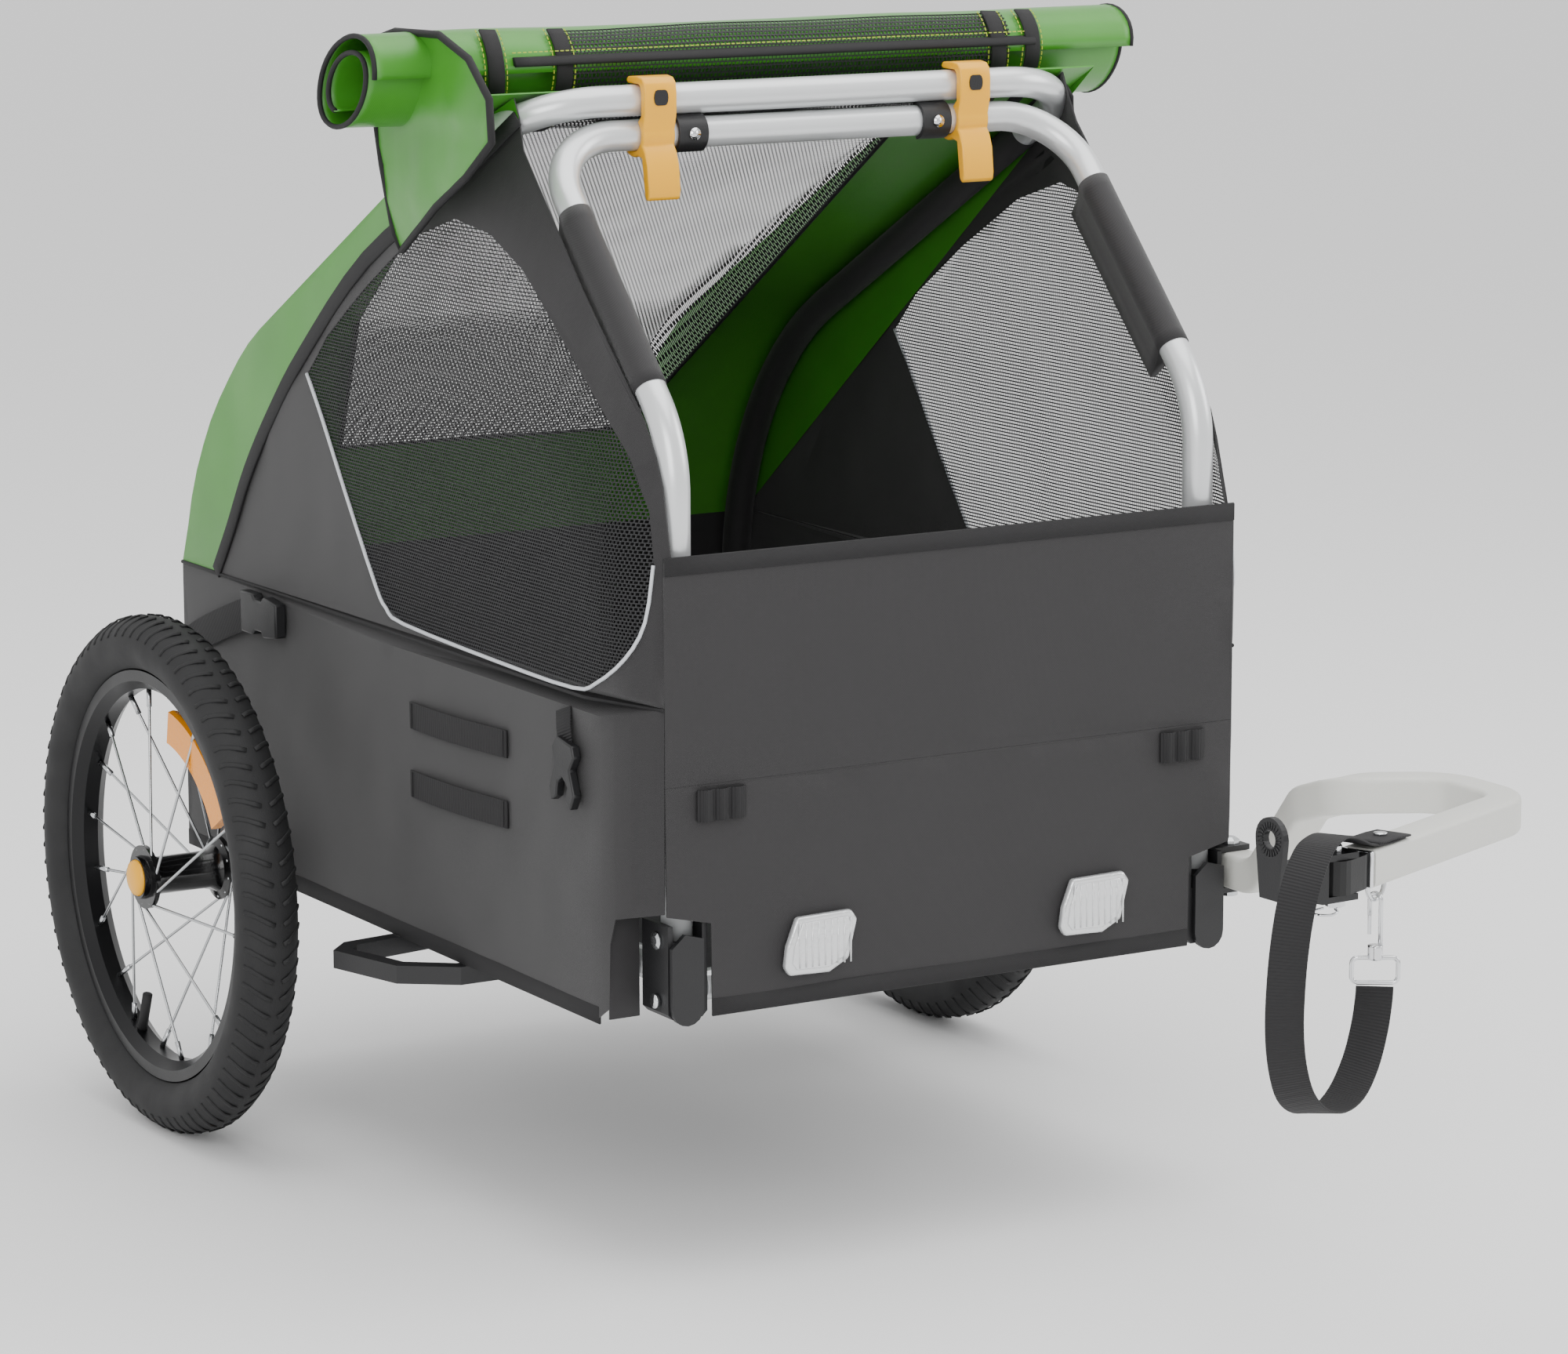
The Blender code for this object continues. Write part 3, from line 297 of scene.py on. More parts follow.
BAR_HALF = 0.013
MOUTH = Vector((0.0905, -0.934, 0.335))
bar_out = (MOUTH - Vector((0.285, -0.850, 0.335))).normalized()
at_mouth = Matrix.Translation(MOUTH) @ Matrix.Rotation(math.atan2(bar_out.y, bar_out.x), 4, "Z")
STRAP_WIDTH = 0.025
STRAP_THICK = 0.0016
STRAP_ROUTE = [
    (-0.040, 0.0000, 0.0141, 90), (-0.018, 0.0000, 0.0141, 90), (0.004, 0.0008, 0.0172, 92),
    (0.026, 0.0040, 0.0250, 96), (0.050, 0.0100, 0.0315, 102), (0.072, 0.0160, 0.0340, 108),
    (0.092, 0.0200, 0.0310, 114), (0.109, 0.0225, 0.0180, 119), (0.121, 0.0235, -0.0020, 123),
    (0.128, 0.0235, -0.0270, 125), (0.131, 0.0230, -0.0540, 125), (0.130, 0.0220, -0.0810, 125),
    (0.123, 0.0205, -0.1060, 125), (0.108, 0.0180, -0.1290, 125), (0.083, 0.0145, -0.1450, 125),
    (0.052, 0.0105, -0.1520, 125), (0.022, 0.0065, -0.1480, 125), (-0.001, 0.0035, -0.1330, 125),
    (-0.015, 0.0018, -0.1130, 125), (-0.0225, 0.0005, -0.0950, 125), (-0.0235, 0.0005, -0.0856, 125),
]
# Nylon webbing is matt black; its ribs are drawn 2.2 mm apart, coarser than the weave, so that they show.
webbing = cloth("ribbed black nylon webbing", "#141315", 0.75, 0.0022, 0.0005, ribs=True)
strap_path = [at_mouth @ point for point in curved([step[:3] for step in STRAP_ROUTE], 4)]
turns = []
for i in range(len(strap_path)):
    at = min(i / 4, len(STRAP_ROUTE) - 1)
    low = STRAP_ROUTE[int(at)][3]
    high = STRAP_ROUTE[min(int(at) + 1, len(STRAP_ROUTE) - 1)][3]
    turn = math.radians(low + (high - low) * (at - int(at)))
    turns.append(at_mouth.to_3x3() @ Vector((math.cos(turn), math.sin(turn), 0)))
edge = STRAP_WIDTH / 2
strip = [(-edge, -0.0005), (-edge + 0.0006, -STRAP_THICK / 2), (edge - 0.0006, -STRAP_THICK / 2),
         (edge, -0.0005), (edge, 0.0005), (edge - 0.0006, STRAP_THICK / 2),
         (-edge + 0.0006, STRAP_THICK / 2), (-edge, 0.0005)]
strap = sweep("safety_strap_webbing", strap_path, strip, webbing, wide=turns)
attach(strap, "tow_bar")
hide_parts("safety_strap")

# ---- wheels: tyres, rims, spokes, hubs and their push buttons --------------------------------
# 16 inch wheels on quick-release axle pins: black rubber tyre, black rim, plated spokes and an
# amber spoke reflector, a gloss black hub and an orange release button.
WHEEL_R = 0.200
HALF_TRACK = 0.344
TYRE_HALF = 0.0235
TYRE_MID = 0.1775
BEAD_R = 0.1589
TREAD_BARS = 84
RIM_IN = 0.1435
FLANGES = ((0.018, 1.0, 0.25), (-0.044, -1.0, 0.75))
FLANGE_R = 0.0245
SPOKES = 10
SPOKE_LEAN = math.radians(52)
SPOKE_WIRE = 0.0011
NIPPLE_R = 0.0021
REFLECTOR_R = 0.119
# Tyre rubber is matt and near black, the anodised rim and the moulded hub shine more, zinc plate and
# chrome are bright metal, and the orange plastic lets a little light into its edges.
rubber = finish("black tyre rubber", "#1b1b1c", 0.72, grain=0.3)
rim_black = finish("anodised black rim", "#101012", 0.32, metallic=0.4)
spoke_steel = finish("bright zinc plated steel", "#c4c6c8", 0.22, metallic=1.0)
hub_gloss = finish("gloss black moulded hub", "#0c0c0d", 0.12)
orange = finish("yellow-orange moulded plastic", "#f5ad00", 0.34, grain=0.1, Subsurface_Weight=0.08)
amber = finish("amber prismatic reflector", "#f09400", 0.16, grain=0.6, size=420.0)
chrome = finish("polished chromed steel", "#dcdddf", 0.08, metallic=1.0, grain=0.03)


def turned(name, profile, centre, look, sides=96, sign=1.0, ring=True):
    """A profile of (along X, radius) turned about the wheel's axle."""
    spins = [2 * math.pi * j / sides for j in range(sides)]
    points = [centre + Vector((sign * x, r * math.cos(spin), r * math.sin(spin)))
              for x, r in profile for spin in spins]
    faces = []
    last = len(profile) if ring else len(profile) - 1
    for i in range(last):
        low, high = i * sides, ((i + 1) % len(profile)) * sides
        for j in range(sides):
            k = (j + 1) % sides
            quad = (low + j, low + k, high + k, high + j)
            faces.append(quad if sign > 0 else quad[::-1])
    if not ring:
        caps = [tuple(reversed(range(sides))), tuple(range((len(profile) - 1) * sides, len(profile) * sides))]
        faces += caps if sign > 0 else [cap[::-1] for cap in caps]
    item = piece_of(name, points, faces, look)
    item.data.set_sharp_from_angle(angle=math.radians(35))
    return item


def repeater(name, **inputs):
    """A Geometry Nodes tree with named inputs, and the sockets that give them."""
    tree = bpy.data.node_groups.new(name, "GeometryNodeTree")
    for label, kind in inputs.items():
        tree.interface.new_socket(label, in_out="INPUT", socket_type="NodeSocket" + kind)
    tree.interface.new_socket("Result", in_out="OUTPUT", socket_type="NodeSocketGeometry")
    return tree, node(tree, "NodeGroupInput").outputs


def repeated(item, tree, spots, part, turn, look, **values):
    """End a tree with a part at every spot, run it on a piece, and keep the result as a plain mesh."""
    copies = node(tree, "GeometryNodeInstanceOnPoints",
                  {"Points": spots, "Instance": part, "Rotation": turn}).outputs[0]
    real = node(tree, "GeometryNodeRealizeInstances", {0: copies}).outputs[0]
    dressed = node(tree, "GeometryNodeSetMaterial", {"Geometry": real, "Material": look}).outputs[0]
    node(tree, "NodeGroupOutput", {0: dressed})
    maker = item.modifiers.new("repeat", "NODES")
    maker.node_group = tree
    sockets = {socket.name: socket.identifier for socket in tree.interface.items_tree}
    for label, value in values.items():
        maker[sockets[label]] = value
    return settled(item)


def ring_of_copies(part, count, centre, look):
    """Repeat a part evenly round the axle."""
    tree, given = repeater("ring of copies", Part="Geometry", Count="Int", Centre="Vector")
    index = node(tree, "GeometryNodeInputIndex").outputs[0]
    step = node(tree, "ShaderNodeMath", {0: 2 * math.pi, 1: given["Count"]}, operation="DIVIDE").outputs[0]
    turn = node(tree, "ShaderNodeMath", {0: index, 1: step}, operation="MULTIPLY").outputs[0]
    angle = node(tree, "ShaderNodeCombineXYZ", {"X": turn}).outputs[0]
    spots = node(tree, "GeometryNodePoints",
                 {"Count": given["Count"], "Position": given["Centre"]}).outputs[0]
    return repeated(part, tree, spots, given["Part"], angle, look, Count=count, Centre=tuple(centre))


tyre_profile = []
for j in range(28):
    turn = math.radians(-62 + 304 * j / 27)
    tyre_profile.append((TYRE_HALF * math.cos(turn), max(TYRE_MID + 0.0217 * math.sin(turn), BEAD_R)))
rim_profile = [(-0.0135, 0.1585), (-0.0135, 0.1500), (-0.0120, 0.1486), (-0.006, RIM_IN), (0.006, RIM_IN),
               (0.0120, 0.1486), (0.0135, 0.1500), (0.0135, 0.1585)]
hub_profile = [(-0.056, 0.0063), (-0.056, 0.0145), (-0.046, 0.0145), (-0.046, FLANGE_R),
               (-0.042, FLANGE_R), (-0.040, 0.0180), (-0.034, 0.0145), (0.008, 0.0145), (0.014, 0.0180),
               (0.016, FLANGE_R), (0.020, FLANGE_R), (0.020, 0.0170), (0.025, 0.0160), (0.025, 0.0143),
               (0.015, 0.0143), (0.015, 0.0063)]
button_profile = [(0.0193, 0.0140), (0.0255, 0.0140), (0.0275, 0.0130), (0.0289, 0.0105), (0.0297, 0.0065),
                  (0.0300, 0.0020)]
for side, sign in SIDES:
    hub = Vector((sign * HALF_TRACK, 0, WHEEL_R))
    wheel = "wheel_" + side
    tyre = turned("tyre_carcass_" + side, tyre_profile, hub, rubber, 128, sign)
    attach(tyre, wheel)
    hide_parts("tyre_" + side)
    for hand in (1.0, -1.0):
        tread_line = []
        for turn, across, radius in ((0.0, 0.0035, 0.1992), (0.012, 0.0085, 0.1984), (0.030, 0.0140, 0.1947),
                                     (0.046, 0.0190, 0.1902), (0.052, 0.0222, 0.1850)):
            lift = radius + 0.0004
            tread_line.append(Vector((sign * hand * across, lift * math.sin(turn), lift * math.cos(turn))))
        block = sweep("tyre_tread_%s_%d" % (side, hand > 0), tread_line, circle(0.0019, 6, 0.42), rubber,
                      wide=FORE_AND_AFT)
        tread = ring_of_copies(block, TREAD_BARS, hub, rubber)
        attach(tread, wheel)
    rim = turned("rim_hoop_" + side, rim_profile, hub, rim_black, 128, sign)
    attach(rim, wheel)
    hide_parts("rim_" + side)
    shell = turned("hub_shell_" + side, hub_profile, hub, hub_gloss, 64, sign)
    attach(shell, wheel)
    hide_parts("hub_" + side)
    for flange, lean, phase in FLANGES:
        at_rim = 2 * math.pi * phase / SPOKES
        at_hub = at_rim + lean * SPOKE_LEAN
        start = Vector((sign * flange, FLANGE_R * 0.9 * math.cos(at_hub), FLANGE_R * 0.9 * math.sin(at_hub)))
        end = Vector((sign * flange * 0.06, RIM_IN * math.cos(at_rim), RIM_IN * math.sin(at_rim)))
        wire = [start + Vector((-sign * lean * 0.003, 0, 0)), start + Vector((sign * lean * 0.0012, 0, 0)),
                start.lerp(end, 0.04) + Vector((sign * lean * 0.001, 0, 0)), start.lerp(end, 0.90), end]
        spoke = sweep("spokes_%s_%s" % (side, "outer" if lean > 0 else "inner"), wire,
                      circle(SPOKE_WIRE, 8), spoke_steel)
        nipple = sweep("nipple", [start.lerp(end, 0.89), end], circle(NIPPLE_R, 8), spoke_steel)
        bpy.context.view_layer.objects.active = spoke
        with bpy.context.temp_override(active_object=spoke, selected_editable_objects=[spoke, nipple]):
            bpy.ops.object.join()
        spokes = ring_of_copies(spoke, SPOKES, hub, spoke_steel)
        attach(spokes, wheel)
        if lean > 0:
            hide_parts("spokes_" + side)
    button = turned("release_button_" + side, button_profile, hub, orange, 48, sign, ring=False)
    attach(button, "hub_button_" + side)
    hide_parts("hub_button_" + side)
    bend = [hub + Vector((0, REFLECTOR_R * math.cos(t), REFLECTOR_R * math.sin(t)))
            for t in (math.radians(98 + 52 * k / 16) for k in range(17))]
    plate = [(-0.0125, -0.004), (0.0125, -0.004), (0.0135, 0.0), (0.0125, 0.004), (-0.0125, 0.004),
             (-0.0135, 0.0)]
    glow = sweep("spoke_reflector_" + side, bend, plate, amber, wide=[point - hub for point in bend],
                 smooth=False)
    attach(glow, wheel)
    valve_at = Vector((sign * HALF_TRACK, 0.042, 0.095)) - hub
    stem = valve_at.normalized()
    valve = sweep("valve_" + side,
                  [hub + stem * 0.1445, hub + stem * 0.128, hub + stem * 0.1275, hub + stem * 0.112],
                  circle(0.0040, 12), rubber)
    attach(valve, wheel)

# ---- frame tubes and hoops ------------------------------------------------------------------
# 22 mm aluminium tubes with a clear-coated satin finish, bent into two hoops; the rails stay as
# they are in the frame and only take the finish.
TUBE_R = 0.0111
FRONT = (-0.566, 0.250)
REAR = (0.135, 0.250)
FRONT_HALF = 0.2165
REAR_HALF = 0.2405
ELBOW_Z = 0.594
FRONT_BAR_Z = 0.785
ARCH_R = 0.280
ARCH_TURN = math.radians(61.2)
ARCH = (REAR[0] - ARCH_R, 0.3591)
CROSS = (-0.383, 0.8095)
# The clear coat gives the aluminium a soft sheen; the glass-filled plastic has a fine, dull grain.
tube_look = finish("satin clear-coated aluminium", "#d9dbdc", 0.30, metallic=0.5, grain=0.06, Coat_Weight=0.2)
plastic = finish("black glass-filled plastic", "#121214", 0.42, grain=0.35)


def dress(names, look):
    """Give frame parts whose shape is right their finish."""
    for name in names:
        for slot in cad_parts[name].material_slots:
            slot.link = "OBJECT"
            slot.material = look


dress(["frame_rail_right", "frame_rail_left", "front_cross_tube", "rear_cross_tube", "axle_beam"], tube_look)
dress(["axle_pin_right", "axle_pin_left", "front_pivot_bolt_right", "front_pivot_bolt_left",
       "rear_pivot_pin_right", "rear_pivot_pin_left", "tow_pivot_bolt"], spoke_steel)
dress(["front_bracket_right", "front_bracket_left", "rear_bracket_right", "rear_bracket_left",
       "axle_receiver_right", "axle_receiver_left"], plastic)


def hoop_path(half, foot, elbow, top, radii, steps):
    """A hoop's path from its right foot to its left foot."""
    near = [(half, *foot), (half, foot[0], elbow), (half, *top)]
    whole = [(-x, y, z) for x, y, z in near] + near[::-1]
    return filleted(whole, radii + radii[::-1], steps)


arch_corner = ARCH[1] + ARCH_R * math.tan(ARCH_TURN / 2)
front_path = hoop_path(FRONT_HALF, FRONT, ELBOW_Z, (CROSS[0], FRONT_BAR_Z), [0.090, 0.055], 14)
rear_path = hoop_path(REAR_HALF, REAR, arch_corner, CROSS, [ARCH_R, 0.070], 20)
for name, path in (("front_hoop", front_path), ("rear_hoop", rear_path)):
    hoop = sweep(name + "_tube", path, circle(TUBE_R, 32), tube_look)
    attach(hoop, name)
    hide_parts(name)


# ---- latches and saddle clips on the front crossbar -----------------------------------------
# Orange moulded over-centre latches that hook over the rear crossbar, and black saddle clips
# held with a steel rivet each.
def arc(centre, radius, first, last, steps):
    """Points on an arc in a plane, angles in degrees."""
    turns = [math.radians(first + (last - first) * step / steps) for step in range(steps + 1)]
    return [(centre[0] + radius * math.cos(turn), centre[1] + radius * math.sin(turn)) for turn in turns]


def slab(name, outline, axis, start, end, look, edge=0.0, steps=2):
    """An outline across an axis pushed from start to end, with rounded edges."""
    points = []
    for place in (start, end):
        for first, second in outline:
            point = [first, second]
            point.insert(axis, place)
            points.append(point)
    count = len(outline)
    area = sum(a[0] * b[1] - b[0] * a[1] for a, b in zip(outline, outline[1:] + outline[:1]))
    faces = [tuple(reversed(range(count))), tuple(range(count, 2 * count))]
    faces += [(j, (j + 1) % count, count + (j + 1) % count, count + j) for j in range(count)]
    if (area > 0) == (axis == 1):
        faces = [face[::-1] for face in faces]
    if start > end:
        faces = [face[::-1] for face in faces]
    item = piece_of(name, points, faces, look)
    item.data.set_sharp_from_angle(angle=math.radians(40))
    return bevelled(item, edge, steps) if edge else item


LATCH_X = 0.1315
LATCH_HALF = 0.013
SLOT_Z = 0.812
SADDLE_X = 0.102
SADDLE_HALF = 0.012
clip_in = TUBE_R + 0.0003
for side, sign in SIDES:
    shape = arc((0, 0), clip_in, 320, 125, 24)
    shape += [(-0.0118, 0.014), (-0.0118, 0.030), (-0.0105, 0.0345), (-0.0080, 0.0362), (0.0075, 0.0362),
              (0.0090, 0.0385), (0.0070, 0.0410), (-0.006, 0.0420), (-0.0130, 0.0410), (-0.0170, 0.0372),
              (-0.0182, 0.030), (-0.0180, 0.016)]
    shape += arc((0, 0), 0.0156, 165, 205, 6)
    shape += [(-0.0175, -0.0110), (-0.0211, -0.020), (-0.0231, -0.038), (-0.0222, -0.0435),
              (-0.0195, -0.0455), (-0.0166, -0.042), (-0.0126, -0.016)]
    shape += arc((0, 0), 0.0156, 245, 320, 8)
    outline = [(CROSS[0] + y, FRONT_BAR_Z + z) for y, z in shape]
    middle = sign * LATCH_X
    latch = slab("latch_lever_" + side, outline, 0, middle - LATCH_HALF, middle + LATCH_HALF, orange, 0.0011)
    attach(latch, "latch_" + side)
    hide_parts("latch_" + side)
    slot_shape = arc((-0.006, 0), 0.0055, 90, 270, 6) + arc((0.006, 0), 0.0055, -90, 90, 6)
    slot_place = [(middle + a * 0.5, SLOT_Z + b) for a, b in slot_shape]
    recess = slab("latch_slot_" + side, slot_place, 1, CROSS[0] - 0.0187, CROSS[0] - 0.0180, plastic)
    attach(recess, "latch_" + side)
    saddle = arc((0, 0), clip_in, 262, 98, 16) + arc((0, 0), clip_in + 0.0026, 98, 262, 16)
    outline = [(CROSS[0] + y, FRONT_BAR_Z + z) for y, z in saddle]
    middle = sign * SADDLE_X
    clip = slab("saddle_" + side, outline, 0, middle - SADDLE_HALF, middle + SADDLE_HALF, plastic, 0.0006)
    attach(clip, "front_hoop")
    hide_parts("saddle_clip_" + side)
    face = Vector((middle, CROSS[0] - clip_in - 0.0024, FRONT_BAR_Z))
    rivet = sweep("saddle_rivet_" + side,
                  [face, face + Vector((0, -0.0012, 0)), face + Vector((0, -0.0013, 0))],
                  circle(0.0045, 20), chrome)
    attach(rivet, "front_hoop")

# ---- cloth walls ----------------------------------------------------------------------------
# The cabin is black coated pack cloth with black mesh windows, sewn to green coated cloth that
# wraps the rear hoop. Hems are bound with black tape, stitched in yellow-green.
# The coated cloths are drawn with threads 1 mm apart and the window mesh with 3.2 mm openings, coarser
# than the real ones so that they show; the green coating is the shinier of the two.
pack_black = cloth("black coated pack cloth", "#171517", 0.62, 0.0011, 0.00018, Sheen_Weight=0.15)
green = cloth("green coated cloth", "#3f8a24", 0.30, 0.0010, 0.00006, Specular_IOR_Level=0.6)
net_black = cloth("black window mesh", "#1c1c1e", 0.60, 0.0032, 0.0002, holes=0.115)
binding = cloth("black binding tape", "#111012", 0.70, 0.0012, 0.0002)
piping = finish("silver reflective piping", "#c9ccd0", 0.38, metallic=0.2)
thread = finish("yellow-green thread", "#a9b83a", 0.7)


def inside(outline, x, y):
    """Whether a point is inside a flat outline."""
    hit = False
    for (ax, ay), (bx, by) in zip(outline, outline[1:] + outline[:1]):
        if (ay > y) != (by > y) and x < (bx - ax) * (y - ay) / (by - ay) + ax:
            hit = not hit
    return hit


def wall(name, outline, place, looks, areas=(), cuts=(), spacing=0.014, thick=0.0012):
    """Cloth cut to a flat outline and bent into shape by place(a, b). The areas, outlines with the
    number of their material, are marked off along the cuts."""
    flat = [Vector(point) for point in outline]
    edges = [(i, (i + 1) % len(outline)) for i in range(len(outline))]
    for line, closed in cuts:
        first = len(flat)
        flat += [Vector(point) for point in line]
        edges += [(first + i, first + i + 1) for i in range(len(line) - 1)]
        if closed:
            edges.append((len(flat) - 1, first))
    low = [min(point[k] for point in outline) for k in (0, 1)]
    high = [max(point[k] for point in outline) for k in (0, 1)]
    a = low[0] + spacing / 2
    while a < high[0]:
        b = low[1] + spacing / 2
        while b < high[1]:
            if inside(outline, a, b):
                flat.append(Vector((a, b)))
            b += spacing
        a += spacing
    points, _, faces, _, _, _ = delaunay_2d_cdt(flat, edges, [list(range(len(outline)))], 0, 1e-6)
    kept = []
    numbers = []
    for face in faces:
        centre = sum((points[i] for i in face), Vector((0, 0))) / len(face)
        if not inside(outline, centre.x, centre.y):
            continue
        kept.append(tuple(face))
        numbers.append(next((number for area, number in areas if inside(area, centre.x, centre.y)), 0))
    used = sorted({i for face in kept for i in face})
    renumber = {old: new for new, old in enumerate(used)}
    kept = [tuple(renumber[i] for i in face) for face in kept]
    item = piece_of(name, [place(*points[i]) for i in used], kept, looks, [tuple(points[i]) for i in used])
    for face, number in zip(item.data.polygons, numbers):
        face.material_index = number
    body = item.modifiers.new("thickness", "SOLIDIFY")
    body.thickness = thick
    body.offset = 0.0
    settled(item)
    item.data.set_sharp_from_angle(angle=math.radians(50))
    return item


def wrinkle(a, b, seed, size=0.002, scale=11.0):
    """Soft unevenness of hanging cloth."""
    return size * noise.noise(Vector((a * scale, b * scale, seed))) + size * 0.4 * noise.noise(
        Vector((a * scale * 2.7, b * scale * 2.2, seed + 5)))


def stitches(name, path, look, pitch=0.0042, length=0.0026, width=0.0007):
    """A row of stitches along a path."""
    tree, given = repeater("row of stitches", Line="Geometry", Pitch="Float", Size="Vector")
    line = node(tree, "GeometryNodeMeshToCurve", {0: given["Line"]}).outputs[0]
    spots = node(tree, "GeometryNodeResampleCurve", {"Curve": line, "Length": given["Pitch"]},
                 mode="LENGTH").outputs[0]
    tangent = node(tree, "GeometryNodeInputTangent").outputs[0]
    turn = node(tree, "FunctionNodeAlignRotationToVector", {"Vector": tangent}, axis="X").outputs[0]
    stitch = node(tree, "GeometryNodeMeshCube", {"Size": given["Size"]}).outputs[0]
    mesh = bpy.data.meshes.new(name)
    mesh.from_pydata([tuple(point) for point in path], [(i, i + 1) for i in range(len(path) - 1)], [])
    item = bpy.data.objects.new(name, mesh)
    scene.collection.objects.link(item)
    return repeated(item, tree, spots, stitch, turn, look, Pitch=pitch, Size=(length, width, width))


SIDE_X = 0.2576
SEAM = 0.4156
FACE_Y = -0.5845
tape = [(-0.0060, -0.0010), (0.0060, -0.0010), (0.0066, 0.0), (0.0060, 0.0010), (-0.0060, 0.0010),
        (-0.0066, 0.0)]


def wall_x(y):
    """How far out a side wall stands: it turns in to the front panel at the corner."""
    near = min(max((-0.530 - y) / 0.055, 0.0), 1.0)
    return SIDE_X - 0.0226 * near * near


def upper_x(y, z):
    """The same for the cloth above the seam, which is also drawn in to the slanted leg of the hoop."""
    from_leg = (y - FRONT[0]) * 0.722 - (z - ELBOW_Z) * 0.692
    near = min(max(1.0 - from_leg / 0.10, 0.0), 1.0)
    return max(wall_x(y) - 0.0276 * near * near, 0.2296)


def side_place(sign, seed, low, high, stand):
    """Where flat side cloth (y, z) goes; it is held flat at its lower and upper edges."""
    def place(y, z):
        slack = min(1.0, max(0.0, min(z - low, high - z) / 0.05))
        return Vector((sign * (stand(y, z) + wrinkle(y, z, seed) * slack), y, z))
    return place


arch_edge = []
for step in range(11):
    turn = ARCH_TURN * (0.2 + 0.8 * step / 10)
    arch_edge.append((ARCH[0] + (ARCH_R + 0.0115) * math.cos(turn),
                      ARCH[1] + (ARCH_R + 0.0115) * math.sin(turn)))
lower_side = [(-0.5835, 0.272), (-0.549, 0.264), (-0.5445, 0.246), (-0.543, 0.200), (-0.530, 0.191),
              (-0.4, 0.188), (-0.25, 0.190), (-0.0215, 0.187), (-0.0215, 0.2215), (0.0215, 0.2215),
              (0.0215, 0.187), (0.1465, 0.188), (0.1465, SEAM - 0.0005), (-0.5845, SEAM - 0.0005)]
upper_side = [(-0.5845, SEAM), (0.082, SEAM), (0.1462, SEAM)] + arch_edge[1:] + [
    (-0.367, 0.8135), (-0.374, 0.800), (-0.384, 0.7785), (-0.468, 0.6905), (-0.548, 0.6075), (-0.564, 0.584),
    (-0.572, 0.565), (-0.5845, 0.517)]
green_line = [(0.082, SEAM), (0.055, 0.452), (0.020, 0.503), (-0.025, 0.553), (-0.080, 0.604),
              (-0.188, 0.685), (-0.325, 0.754), (-0.374, 0.800)]
green_area = green_line + [(-0.3, 1.0), (0.4, 0.9), (0.4, SEAM)]
window = [(-0.086, 0.590), (-0.110, 0.560), (-0.150, 0.505), (-0.195, 0.446), (-0.212, 0.431),
          (-0.240, 0.4235), (-0.388, 0.4190), (-0.498, 0.4185), (-0.531, 0.4270), (-0.560, 0.4480),
          (-0.573, 0.4740), (-0.574, 0.513), (-0.565, 0.548), (-0.545, 0.583), (-0.412, 0.698),
          (-0.370, 0.720), (-0.325, 0.727), (-0.264, 0.709), (-0.187, 0.666), (-0.120, 0.622)]
